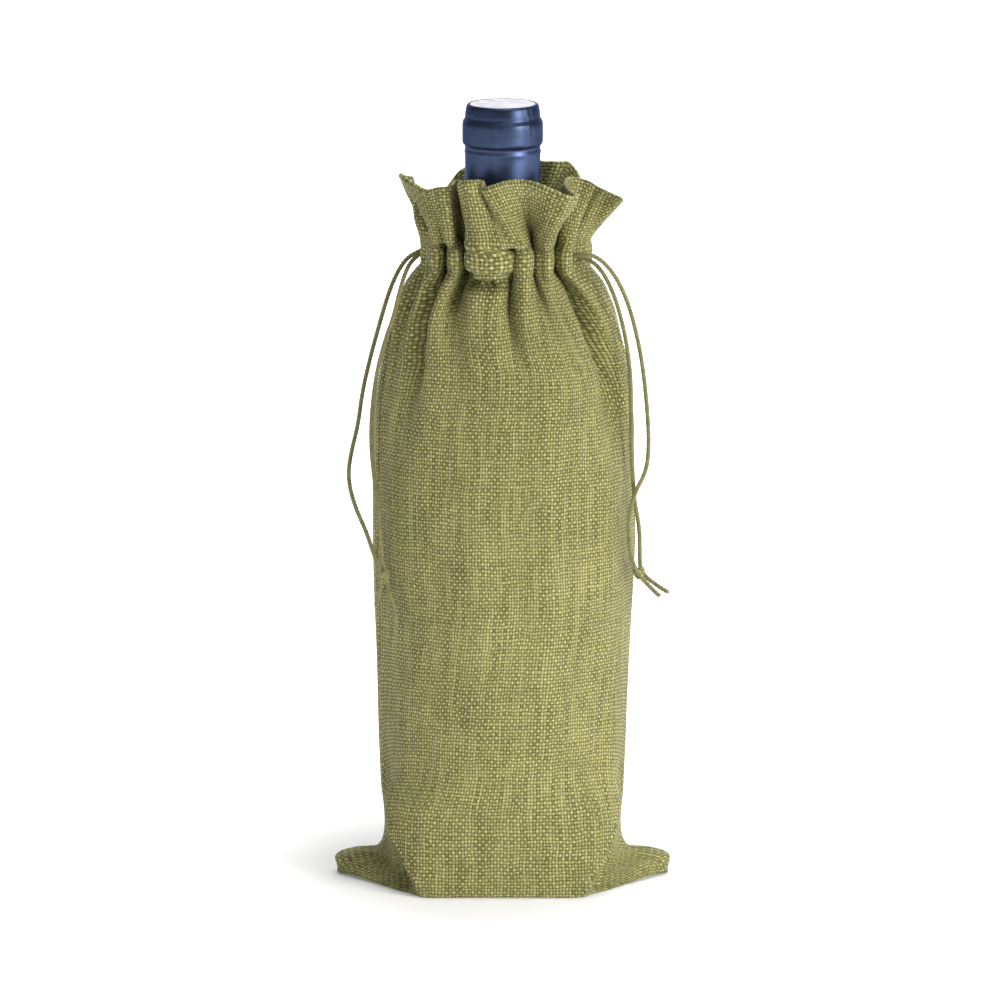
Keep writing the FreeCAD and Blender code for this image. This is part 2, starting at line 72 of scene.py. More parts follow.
# (x, y, z) for the right half of the front: the crease of the base and the rows above it,
# up to where the body is oval.  The distance along the cloth from the middle of the panel is
# in CORNER_PLACES.  The last places draw the flat ear that stands out at each side.
CORNER_PLACES = [0.0, 0.016, 0.028, 0.032, 0.038, 0.046, 0.054, 0.062, 0.068, 0.071]
CORNER_ROWS = [
    (0.000, [
        (0.0000, -0.0386, 0.0006), (0.0160, -0.0387, 0.0006), (0.0280, -0.0386, 0.0006),
        (0.0312, -0.0372, 0.0006), (0.0366, -0.0316, 0.0006), (0.0440, -0.0238, 0.0008),
        (0.0512, -0.0160, 0.0012), (0.0582, -0.0086, 0.0017), (0.0626, -0.0036, 0.0018),
        (0.0634, -0.0004, 0.0021),
    ]),
    (0.005, [
        (0.0000, -0.0392, 0.0050), (0.0160, -0.0391, 0.0050), (0.0283, -0.0389, 0.0052),
        (0.0320, -0.0382, 0.0052), (0.0350, -0.0314, 0.0040), (0.0402, -0.0226, 0.0024),
        (0.0474, -0.0150, 0.0032), (0.0550, -0.0084, 0.0052), (0.0622, -0.0042, 0.0058),
        (0.0652, -0.0004, 0.0062),
    ]),
    (0.012, [
        (0.0000, -0.0391, 0.0120), (0.0160, -0.0389, 0.0120), (0.0280, -0.0384, 0.0122),
        (0.0320, -0.0378, 0.0124), (0.0366, -0.0346, 0.0120), (0.0380, -0.0262, 0.0092),
        (0.0412, -0.0165, 0.0058), (0.0480, -0.0085, 0.0060), (0.0560, -0.0035, 0.0080),
        (0.0598, -0.0004, 0.0092),
    ]),
    (0.022, [
        (0.0000, -0.0389, 0.0220), (0.0160, -0.0385, 0.0220), (0.0280, -0.0374, 0.0220),
        (0.0318, -0.0366, 0.0221), (0.0374, -0.0343, 0.0220), (0.0416, -0.0296, 0.0212),
        (0.0421, -0.0200, 0.0180), (0.0432, -0.0110, 0.0128), (0.0462, -0.0045, 0.0098),
        (0.0498, -0.0004, 0.0098),
    ]),
    (0.031, [
        (0.0000, -0.0387, 0.0310), (0.0160, -0.0379, 0.0310), (0.0276, -0.0360, 0.0310),
        (0.0314, -0.0348, 0.0310), (0.0368, -0.0318, 0.0308), (0.0418, -0.0268, 0.0302),
        (0.0444, -0.0198, 0.0286), (0.0446, -0.0118, 0.0252), (0.0446, -0.0045, 0.0196),
        (0.0450, -0.0004, 0.0158),
    ]),
]
# v, distance of the corner's crease from the middle of the panel
CORNER_CREASE = [
    (0.000, 0.0305),
    (0.005, 0.0330),
    (0.012, 0.0378),
    (0.022, 0.0450),
    (0.031, 0.0505),
    (0.060, 0.0560),
]
SIDE_LAG = 0.017            # extra cloth that the ears take, as height lost at the side seams

# height, half width, half depth of the oval that the body fills, and how far the base's
# corners still stand out of it
OVALS = [
    (0.045, 0.0458, 0.0385, 0.0018),
    (0.058, 0.0464, 0.0385, 0.0008),
    (0.071, 0.0468, 0.0385, 0.0002),
    (0.090, 0.0475, 0.0385, 0.0),
    (0.106, 0.0483, 0.0385, 0.0),
    (0.125, 0.0493, 0.0385, 0.0),
    (0.150, 0.0495, 0.0385, 0.0),
    (0.170, 0.0495, 0.0385, 0.0),
    (0.182, 0.0492, 0.0384, 0.0),
    (0.190, 0.0484, 0.0380, 0.0),
    (0.201, 0.0466, 0.0362, 0.0),
    (0.212, 0.0441, 0.0334, 0.0),
    (0.223, 0.0408, 0.0300, 0.0),
    (0.232, 0.0365, 0.0272, 0.0),
    (0.2388, 0.0318, 0.0252, 0.0),
]
# height, how far the left and the right side seams turn towards the front, in degrees
SEAM_TURNS = [
    (0.020, 0.0, 0.0),
    (0.070, 8.0, 0.0),
    (0.110, 18.0, 0.0),
    (0.200, 18.0, 4.0),
    (0.2388, 0.0, 31.0),
]
# height, strength of the folds that the channel gathers, and how widely they are smoothed
FOLDS = [
    (0.150, 0.00, 0.014),
    (0.180, 0.15, 0.0100),
    (0.190, 0.24, 0.0084),
    (0.201, 0.34, 0.0070),
    (0.212, 0.46, 0.0056),
    (0.223, 0.62, 0.0040),
    (0.232, 0.84, 0.0022),
    (0.2388, 1.00, 0.0004),
]
# Long folds that hang from the channel: c at the channel and at the fold's foot, height of the
# foot, depth (negative for a ridge), half width at the channel and at the foot.
VALLEYS = [
    (0.0075, 0.0070, 0.186, 0.0042, 0.0026, 0.0040),
    (0.0200, 0.0170, 0.172, 0.0130, 0.0034, 0.0060),
    (0.0290, 0.0300, 0.150, -0.0016, 0.0050, 0.0100),
    (0.0375, 0.0400, 0.218, 0.0060, 0.0024, 0.0034),
    (0.0560, 0.0540, 0.180, 0.0012, 0.0030, 0.0060),
    (0.0690, 0.0715, 0.176, 0.0048, 0.0030, 0.0070),
    (0.0900, 0.0905, 0.140, -0.0020, 0.0060, 0.0110),
    (0.1010, 0.1040, 0.205, 0.0016, 0.0026, 0.0040),
    (0.1243, 0.1180, 0.166, 0.0180, 0.0036, 0.0085),
    (0.1340, 0.1330, 0.170, -0.0014, 0.0035, 0.0050),
    (0.1700, 0.1690, 0.180, 0.0040, 0.0030, 0.0060),
    (0.1930, 0.1950, 0.170, 0.0080, 0.0035, 0.0075),
    (0.2150, 0.2140, 0.185, 0.0045, 0.0030, 0.0060),
    (0.2380, 0.2400, 0.175, 0.0075, 0.0035, 0.0075),
    (0.2640, 0.2650, 0.185, 0.0045, 0.0030, 0.0055),
]
# c, height (negative for a hollow) and half width of the soft folds right of the middle
SOFT_RIDGES = [
    (0.0865, 0.0009, 0.0060),
    (0.0735, -0.0006, 0.0075),
]

# The gathered channel in plan, from the left seam round the front: (x, y), or (x, y, c) where c is
# known.
CHANNEL_LOOP = [
    (-0.0305, 0.0000, 0.0), (-0.0302, -0.0060), (-0.0276, -0.0080, 0.0075), (-0.0272, -0.0130),
    (-0.0252, -0.0164), (-0.0226, -0.0150), (-0.0214, -0.0098, 0.0200), (-0.0204, -0.0140),
    (-0.0200, -0.0194), (-0.0180, -0.0218), (-0.0158, -0.0196), (-0.0146, -0.0088, 0.0375),
    (-0.0120, -0.0120), (-0.0110, -0.0190), (-0.0108, -0.0238), (-0.0084, -0.0254),
    (-0.0044, -0.0262), (0.0006, -0.0258), (0.0028, -0.0228), (0.0038, -0.0176, 0.0690),
    (0.0048, -0.0222), (0.0076, -0.0258), (0.0104, -0.0232), (0.0118, -0.0160, 0.0880),
    (0.0138, -0.0225), (0.0168, -0.0238), (0.0184, -0.0176), (0.0196, -0.0075, 0.1243),
    (0.0218, -0.0160), (0.0244, -0.0182), (0.0268, -0.0126, 0.1420), (0.0325, -0.0050),
    (0.0310, 0.0050), (0.0250, 0.0075), (0.0270, 0.0140), (0.0210, 0.0200),
    (0.0163, 0.0145), (0.0140, 0.0235), (0.0060, 0.0255), (0.0022, 0.0180),
    (-0.0030, 0.0255), (-0.0090, 0.0250), (-0.0108, 0.0172), (-0.0160, 0.0225),
    (-0.0220, 0.0180), (-0.0198, 0.0110), (-0.0270, 0.0120), (-0.0300, 0.0060),
]
# The foot of the ruffle just above the channel, where the middle flap closes one of the folds.
FOOT_LOOP = [
    (-0.0302, 0.0005, 0.0), (-0.0305, -0.0064), (-0.0284, -0.0085, 0.0075), (-0.0276, -0.0095),
    (-0.0270, -0.0150), (-0.0244, -0.0176), (-0.0224, -0.0166, 0.0200), (-0.0212, -0.0186),
    (-0.0202, -0.0205), (-0.0188, -0.0210), (-0.0176, -0.0180), (-0.0158, -0.0085, 0.0375),
    (-0.0130, -0.0110), (-0.0120, -0.0180), (-0.0122, -0.0236), (-0.0094, -0.0264),
    (-0.0040, -0.0274), (0.0020, -0.0276), (0.0068, -0.0266), (0.0096, -0.0222),
    (0.0110, -0.0135, 0.0880), (0.0132, -0.0222), (0.0166, -0.0252), (0.0190, -0.0205),
    (0.0204, -0.0078, 0.1243), (0.0228, -0.0165), (0.0252, -0.0174), (0.0270, -0.0112, 0.1420),
    (0.0332, -0.0052), (0.0318, 0.0050), (0.0262, 0.0080), (0.0280, 0.0146),
    (0.0215, 0.0205), (0.0168, 0.0155), (0.0146, 0.0243), (0.0062, 0.0262),
    (0.0024, 0.0195), (-0.0032, 0.0262), (-0.0093, 0.0257), (-0.0112, 0.0184),
    (-0.0165, 0.0232), (-0.0226, 0.0184), (-0.0208, 0.0116), (-0.0276, 0.0122),
    (-0.0302, 0.0064),
]
# c, how full the channel is there: 1 where it stands out, less where the cloth is pressed in
FULLNESS = [
    (0.000, -0.15), (0.0060, 0.02), (0.014, 0.30), (0.020, 0.05), (0.029, 0.35), (0.0375, 0.05),
    (0.043, 0.50), (0.049, 1.10), (0.058, 1.20), (0.0635, 0.95), (0.069, 0.10),
    (0.078, 0.32), (0.088, 0.05), (0.100, 0.28), (0.112, 0.20), (0.1243, 0.05),
    (0.132, 0.35), (0.137, -0.05), (0.142, -0.25), (0.147, 0.0), (0.155, 0.45), (0.170, 0.25),
    (0.185, 0.60), (0.200, 0.30), (0.215, 0.65), (0.230, 0.35), (0.245, 0.60), (0.262, 0.30),
    (0.276, 0.10), (0.284, -0.15),
]
# Dents in the ruffle: c, share of the way up it, depth, half width along c and along the way up
RUFFLE_DENTS = [
    (0.0125, 0.14, 0.0036, 0.0017, 0.17),
    (0.0090, 0.36, 0.0038, 0.0020, 0.17),
    (0.0055, 0.56, 0.0032, 0.0026, 0.20),
    (0.0300, 0.55, 0.0012, 0.0022, 0.40),
    (0.1120, 0.45, 0.0014, 0.0040, 0.30),
    (0.1350, 0.60, 0.0012, 0.0030, 0.40),
]
# The top edge of the ruffle in space, in the same order: (x, y, z) or (x, y, z, c).
RUFFLE_LOOP = [
    (-0.0360, 0.0046, 0.2700, 0.0), (-0.0386, 0.0012, 0.2720), (-0.0374, -0.0038, 0.2716),
    (-0.0348, -0.0080, 0.2706), (-0.0318, -0.0115, 0.2692), (-0.0282, -0.0146, 0.2684),
    (-0.0245, -0.0180, 0.2698), (-0.0205, -0.0194, 0.2702), (-0.0186, -0.0135, 0.2702),
    (-0.0174, -0.0060, 0.2706, 0.0375), (-0.0156, -0.0130, 0.2712), (-0.0166, -0.0215, 0.2722),
    (-0.0140, -0.0248, 0.2735), (-0.0100, -0.0246, 0.2738), (-0.0082, -0.0222, 0.2736),
    (-0.0078, -0.0262, 0.2710), (-0.0040, -0.0282, 0.2722), (0.0000, -0.0292, 0.2736),
    (0.0050, -0.0300, 0.2744), (0.0075, -0.0302, 0.2744, 0.0880), (0.0100, -0.0310, 0.2741),
    (0.0150, -0.0320, 0.2727), (0.0200, -0.0330, 0.2706), (0.0255, -0.0325, 0.2686),
    (0.0282, -0.0280, 0.2680), (0.0262, -0.0195, 0.2690), (0.0240, -0.0110, 0.2706, 0.1243),
    (0.0262, -0.0040, 0.2716), (0.0310, -0.0010, 0.2702), (0.0372, -0.0050, 0.2674),
    (0.0446, -0.0100, 0.2645), (0.0440, -0.0020, 0.2628), (0.0408, 0.0050, 0.2626),
    (0.0370, 0.0120, 0.2632), (0.0310, 0.0165, 0.2655), (0.0280, 0.0235, 0.2696),
    (0.0244, 0.0266, 0.2725), (0.0210, 0.0250, 0.2728), (0.0160, 0.0300, 0.2720),
    (0.0080, 0.0325, 0.2730), (0.0030, 0.0275, 0.2725), (-0.0030, 0.0315, 0.2720),
    (-0.0110, 0.0310, 0.2705), (-0.0150, 0.0255, 0.2700), (-0.0205, 0.0290, 0.2628),
    (-0.0280, 0.0240, 0.2600), (-0.0296, 0.0178, 0.2615), (-0.0340, 0.0150, 0.2640),
    (-0.0368, 0.0098, 0.2672),
]
# share of the way up the ruffle, share of the way out to its top edge
RUFFLE_STEPS = [(0.12, 0.09), (0.30, 0.27), (0.50, 0.47), (0.74, 0.73), (1.0, 1.0)]
# Height and radius of the bottle's shoulder, which the cloth lies outside.
SHOULDER = [
    (0.1880, 0.0368),
    (0.2005, 0.0349),
    (0.2105, 0.0290),
    (0.2185, 0.0206),
    (0.2265, 0.0156),
    (0.2360, 0.0143),
    (0.2800, 0.0145),
]

# ------------------------------------------------------------------ the draw cords
CORD_DIAMETER = 0.0015
STRAND_RADIUS = 0.00046
STRAND_OFFSET = 0.00043     # from the cord's middle line to a strand's
STRANDS = 3
CORD_PITCH = 0.0042         # length of one full twist
KNOT_PITCH = 0.0040
CHANNEL_CORD_GAP = 0.002    # from a cord's exit to each end of its run in the channel
LEFT_CORD_RISE = 0.0030     # above the lower row of stitches
RIGHT_CORD_RISE = 0.0055
FIBRES = 16                 # loose fibres at each cut end
FIBRE_RADIUS = 0.00007
CHANNEL_STITCH = {"spacing": 0.0033, "length": 0.0024, "radius": 0.00018, "proud": 0.00005}
SEAM_STITCH = {"spacing": 0.0030, "length": 0.0020, "radius": 0.00016, "proud": 0.0}
LEFT_FRONT_ROUTE = [
    (-0.0307, -0.0013, 0.2429), (-0.0346, -0.0040, 0.2406), (-0.0372, -0.0086, 0.2355),
    (-0.0392, -0.0136, 0.2290), (-0.0412, -0.0166, 0.2208), (-0.0446, -0.0162, 0.2115),
    (-0.0476, -0.0140, 0.1995), (-0.0496, -0.0134, 0.1850), (-0.0500, -0.0142, 0.1710),
    (-0.0486, -0.0176, 0.1580), (-0.0468, -0.0208, 0.1470), (-0.0463, -0.0222, 0.1360),
    (-0.0459, -0.0226, 0.1285), (-0.0442, -0.0230, 0.1223), (-0.0432, -0.0244, 0.1162),
    (-0.0410, -0.0266, 0.1104), (-0.0406, -0.0276, 0.1052),
]
LEFT_REAR_ROUTE = [
    (-0.0307, 0.0014, 0.2434), (-0.0352, 0.0020, 0.2416), (-0.0394, 0.0018, 0.2362),
    (-0.0432, 0.0006, 0.2276), (-0.0468, -0.0012, 0.2155), (-0.0504, -0.0026, 0.2025),
    (-0.0534, -0.0034, 0.1895), (-0.0550, -0.0044, 0.1770), (-0.0576, -0.0056, 0.1670),
    (-0.0590, -0.0078, 0.1575), (-0.0564, -0.0124, 0.1475), (-0.0518, -0.0176, 0.1385),
    (-0.0488, -0.0210, 0.1300), (-0.0461, -0.0241, 0.1233), (-0.0462, -0.0240, 0.1172),
    (-0.0480, -0.0234, 0.1118),
]
RIGHT_FRONT_ROUTE = [
    (0.0264, -0.0131, 0.2437), (0.0306, -0.0156, 0.2450), (0.0358, -0.0164, 0.2440),
    (0.0414, -0.0150, 0.2382), (0.0462, -0.0132, 0.2290), (0.0498, -0.0118, 0.2175),
    (0.0528, -0.0108, 0.2030), (0.0546, -0.0106, 0.1875), (0.0556, -0.0116, 0.1725),
    (0.0548, -0.0140, 0.1615), (0.0504, -0.0182, 0.1542), (0.0479, -0.0204, 0.1460),
    (0.0477, -0.0200, 0.1360), (0.0489, -0.0172, 0.1278), (0.0514, -0.0139, 0.1212),
    (0.0552, -0.0144, 0.1170), (0.0594, -0.0162, 0.1132),
]
RIGHT_REAR_ROUTE = [
    (0.0283, -0.0104, 0.2429), (0.0328, -0.0128, 0.2424), (0.0372, -0.0136, 0.2386),
    (0.0412, -0.0138, 0.2312), (0.0444, -0.0142, 0.2216), (0.0468, -0.0150, 0.2110),
    (0.0484, -0.0160, 0.1985), (0.0487, -0.0172, 0.1850), (0.0486, -0.0174, 0.1715),
    (0.0494, -0.0150, 0.1590), (0.0502, -0.0126, 0.1485), (0.0520, -0.0112, 0.1390),
    (0.0523, -0.0112, 0.1300), (0.0523, -0.0121, 0.1219), (0.0570, -0.0124, 0.1173),
    (0.0628, -0.0134, 0.1139),
]
LEFT_KNOT = (-0.0451, -0.0235, 0.1228)
RIGHT_KNOT = (0.0519, -0.0130, 0.1215)
KNOT_LINES = [(0.0019, 72, 20), (0.0016, 20, 75)]   # size, tilt and turn in degrees

# ------------------------------------------------------------------ camera and light
CAMERA_PLACE = (-0.001, -2.490, 0.681)
CAMERA_TARGET = (-0.001, 0.0, 0.14685)
CAMERA_LENS = 240.0
FLOOR_GLOW = 0.45           # the backdrop far from the bag shines a little, so that it stays white
FLOOR_SIDE = 4.0            # half width of the floor
FLOOR_FRONT = -3.5
BEND_START = 2.6            # where the floor begins to curve up into the wall
BEND_RADIUS = 1.0
WALL_TOP = 5.0
WORLD_STRENGTH = 0.24
# name, place, target, width, height, power in watts, colour, spread in degrees
LIGHTS = [
    ("key_light", (1.52, -1.22, 0.66), (0, 0, 0.12), 0.8, 0.9, 34.0, (1.0, 0.985, 0.96), 180.0),
    ("fill_light", (-1.4, -1.4, 0.6), (0, 0, 0.15), 1.0, 1.0, 0.8, (0.95, 0.975, 1.0), 180.0),
    ("top_light", (0.2, -0.1, 1.6), (0, 0, 0.1), 1.0, 1.0, 12.0, (1.0, 1.0, 1.0), 180.0),
    ("low_light", (0.50, -1.30, 0.30), (0, 0, 0.01), 0.15, 0.15, 0.05, (1.0, 0.99, 0.97), 12.0),
]

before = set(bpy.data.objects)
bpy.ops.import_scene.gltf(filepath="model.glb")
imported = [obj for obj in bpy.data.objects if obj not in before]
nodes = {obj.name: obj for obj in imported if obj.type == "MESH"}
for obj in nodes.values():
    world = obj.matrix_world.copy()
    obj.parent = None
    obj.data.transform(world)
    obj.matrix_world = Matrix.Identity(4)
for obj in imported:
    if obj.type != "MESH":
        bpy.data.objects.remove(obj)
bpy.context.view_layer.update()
scene = bpy.context.scene
scene.view_settings.view_transform = "Standard"


# ================================================================== helpers
def link(obj):
    scene.collection.objects.link(obj)
    return obj


def mesh_object(name, vertices, faces, material):
    mesh = bpy.data.meshes.new(name)
    mesh.from_pydata([tuple(p) for p in vertices], [], [tuple(f) for f in faces])
    mesh.validate()
    mesh.materials.append(material)
    mesh.polygons.foreach_set("use_smooth", [True] * len(mesh.polygons))
    mesh.update()
    return link(bpy.data.objects.new(name, mesh))


def place_piece(piece, body, slot, *node_names):
    """A piece of the visual model: the body it moves with and the nodes it replaces; the slot is not used.
    """
    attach(piece, body)
    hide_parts(*node_names)


def run_along(path):
    """Distance from the start of a line of points, at each point."""
    return np.concatenate([[0], np.cumsum(np.linalg.norm(np.diff(path, axis=0), axis=1))])


def interpolate(places, values, wanted):
    """Smooth curve through the values at rising places, read at the wanted places."""
    t = np.asarray(places, float)
    p = np.asarray(values, float)

    def column(numbers):
        return numbers.reshape(-1, *[1] * (p.ndim - 1))

    step = np.diff(t)
    slope = np.diff(p, axis=0) / column(step)
    tangent = np.empty_like(p)
    tangent[0] = slope[0]
    tangent[-1] = slope[-1]
    before = column(step[:-1])
    after = column(step[1:])
    tangent[1:-1] = (slope[:-1] * after + slope[1:] * before) / (before + after)
    w = np.asarray(wanted, float)
    i = np.clip(np.searchsorted(t, w, side="right") - 1, 0, len(step) - 1)
    h = column(step[i])
    x = column((w - t[i]) / step[i])
    a = 2 * x ** 3 - 3 * x ** 2 + 1
    b = x ** 3 - 2 * x ** 2 + x
    return a * p[i] + b * h * tangent[i] + (1 - a) * p[i + 1] + (x ** 3 - x ** 2) * h * tangent[i + 1]


def table_at(rows, z):
    """The other columns of a table of numbers, read at one value of its first column."""
    data = np.array(rows)
    return [float(np.interp(z, data[:, 0], data[:, k])) for k in range(1, data.shape[1])]


def unit(vectors):
    return vectors / np.maximum(np.linalg.norm(vectors, axis=-1, keepdims=True), 1e-12)


# ================================================================== shape of the cloth
ROUND = np.arange(COLUMNS) * LOOP / COLUMNS
# distance of each column from the middle of its panel
ACROSS = np.minimum(np.abs(ROUND - PANEL / 2), np.abs(ROUND - 1.5 * PANEL))


def away_from(c):
    """Signed distance of each column from one place round the bag, the shorter way."""
    return np.mod(ROUND - c + LOOP / 2, LOOP) - LOOP / 2


def loop_from_points(rows, size):
    """The columns of a closed loop given as points, the cloth shared out between the rows with a c."""
    points = np.array([row[:size] for row in rows])
    run = run_along(np.vstack([points, points[:1]]))
    marks = [(run[i], row[size]) for i, row in enumerate(rows) if len(row) > size]
    marks.append((run[-1], LOOP))
    places = np.interp(run, [m[0] for m in marks], [m[1] for m in marks])[:-1]
    padded = np.vstack([points[-3:], points, points[:3]])
    at = np.concatenate([places[-3:] - LOOP, places, places[:3] + LOOP])
    return interpolate(at, padded, ROUND)


def oval_loop(half_width, half_depth, left_turn, right_turn):
    """The columns round an oval, shared out between its two side seams."""
    angle = np.linspace(0, 2 * math.pi, 1441)
    x = -half_width * np.cos(angle)
    y = -half_depth * np.sin(angle)
    run = np.concatenate([[0], np.cumsum(np.hypot(np.diff(x), np.diff(y)))])
    left = np.interp(math.radians(left_turn), angle, run)
    right = np.interp(math.pi - math.radians(right_turn), angle, run)
    along = np.interp(ROUND, [0, PANEL, LOOP], [left, right, run[-1] + left])
    along = np.mod(along, run[-1])
    return np.stack([np.interp(along, run, x), np.interp(along, run, y)], axis=1)


def smoothed(loop_values, width):
    """Values round the loop, averaged over about that width."""
    distance = np.minimum(ROUND, LOOP - ROUND)
    kernel = np.exp(-0.5 * (distance / width) ** 2)
    kernel /= kernel.sum()
    wave = np.fft.rfft(kernel)[:, None] * np.fft.rfft(loop_values, axis=0)
    return np.fft.irfft(wave, n=COLUMNS, axis=0)


def corner_loop(quarter):
    """One row of the base's corners: the right front quarter, mirrored to the others."""
    loop = np.empty((COLUMNS, 3))
    for index, c in enumerate(ROUND):
        front = c <= PANEL
        across = c - PANEL / 2 if front else 1.5 * PANEL - c
        place = interpolate(CORNER_PLACES, quarter, [abs(across)])[0]
        loop[index] = (math.copysign(place[0], across), place[1] if front else -place[1], place[2])
    return loop


def cloth_height(z):
    """v of the row of cloth at one height of the body or the gathered shoulder."""
    return z if z <= SHOULDER_Z else SHOULDER_Z + (z - SHOULDER_Z) * SLANT


channel_loop = loop_from_points(CHANNEL_LOOP, 2)
foot_loop = loop_from_points(FOOT_LOOP, 2)
ruffle_loop = loop_from_points(RUFFLE_LOOP, 3)
channel_oval = oval_loop(*table_at(OVALS, CHANNEL_LOW_Z)[:2], *table_at(SEAM_TURNS, CHANNEL_LOW_Z))
gathers = channel_loop - channel_oval

GUIDE_HEIGHTS = [0.045, 0.058, 0.071, 0.090, 0.110, 0.130, 0.150, 0.165, 0.178, 0.188]
GUIDE_HEIGHTS += [0.196, 0.203, 0.210, 0.216, 0.222, 0.227, 0.232, 0.2355, CHANNEL_LOW_Z]


def bell(distance, width):
    return np.exp(-(distance / width) ** 2)


def body_loop(z):
    """The columns at one height of the body or the gathered shoulder."""
    half_width, half_depth, corner = table_at(OVALS, z)
    plan = oval_loop(half_width, half_depth, *table_at(SEAM_TURNS, z))
    strength, spread = table_at(FOLDS, z)
    if strength > 0:
        plan = plan + strength * smoothed(gathers, spread)
    out = unit(plan)
    # broad, faint waves that hang down the whole body, and a soft ridge right of the middle
    fade = math.sin(math.pi * min(1.0, max(0.0, (z - 0.02) / 0.20)))
    wave = 0.0004 * np.sin(2 * math.pi * (ROUND / 0.047 + 0.35 * math.sin(z * 23)))
    wave += 0.0003 * np.sin(2 * math.pi * (ROUND / 0.031 + z * 3.1 + 0.2))
    for c, height, width in SOFT_RIDGES:
        wave += height * bell(ROUND - c, width)
    # the base's corners stand out of the oval low on the body
    push = corner * bell(ACROSS - 0.047 - (z - 0.04) * 0.25, 0.0060)
    for top_c, foot_c, foot_z, depth, top_width, foot_width in VALLEYS:
        share = (CHANNEL_LOW_Z - z) / (CHANNEL_LOW_Z - foot_z)
        if 0 <= share < 1:
            place = top_c + (foot_c - top_c) * share
            width = top_width + (foot_width - top_width) * share
            strong = min(1.0, share / 0.18) * (1 - share) ** 1.3 * 1.35
            push = push - depth * strong * bell(away_from(place), width)
    plan = plan + out * (fade * wave + push)[:, None]
    sink = SIDE_LAG * (ACROSS / (PANEL / 2)) ** 5 * max(0.0, 1 - (z - 0.031) / 0.090) ** 2
    return np.column_stack([plan, z - sink])


def clear_of_bottle(grid):
    """The cloth moved outwards wherever it would go into the bottle."""
    radius = np.hypot(grid[..., 0], grid[..., 1])
    heights, radii = zip(*SHOULDER)
    least = np.interp(grid[..., 2], heights, radii) + CLOTH + 0.0012 * (grid[..., 2] > CHANNEL_LOW_Z)
    moved = grid.copy()
    moved[..., :2] *= (np.maximum(radius, least) / np.maximum(radius, 1e-6))[..., None]
    return moved


def plan_normals(plan):
    """Outward normals of a closed loop seen from above."""
    along = unit(np.roll(plan, -1, axis=0) - np.roll(plan, 1, axis=0))
    return np.stack([along[:, 1], -along[:, 0]], axis=1)


def wall_guides():
    places = [v for v, quarter in CORNER_ROWS]
    loops = [corner_loop(quarter) for v, quarter in CORNER_ROWS]
    for z in GUIDE_HEIGHTS:
        places.append(cloth_height(z))
        loops.append(body_loop(z))
    low = np.column_stack([channel_loop, np.full(COLUMNS, CHANNEL_LOW_Z)])
    top = np.column_stack([channel_loop, np.full(COLUMNS, CHANNEL_TOP_Z)])
    foot = np.column_stack([foot_loop, np.full(COLUMNS, FOOT_Z)])
    places += [CHANNEL_LOW_V + 0.002, CHANNEL_TOP_V, FOOT_V]
    loops += [low * 0.75 + top * 0.25, top * 0.75 + foot * 0.25, foot]
    for share, reach in RUFFLE_STEPS:
        plan = foot[:, :2] * (1 - reach) + ruffle_loop[:, :2] * reach
        z = foot[:, 2] * (1 - share) + ruffle_loop[:, 2] * share
        for c, middle, depth, width, tall in RUFFLE_DENTS:
            dent = depth * bell(ROUND - c, width) * bell(share - middle, tall)
            plan = plan - plan_normals(plan) * dent[:, None]
        places.append(FOOT_V + share * (RUFFLE_TOP_V - FOOT_V))
        loops.append(np.column_stack([plan, z]))
    return places, np.array(loops)


def grid_normals(grid):
    """Outward normals of a grid of rows by columns that closes round the loop."""
    across = np.roll(grid, -1, axis=1) - np.roll(grid, 1, axis=1)
    up = np.gradient(grid, axis=0)
    return unit(np.cross(across, up))


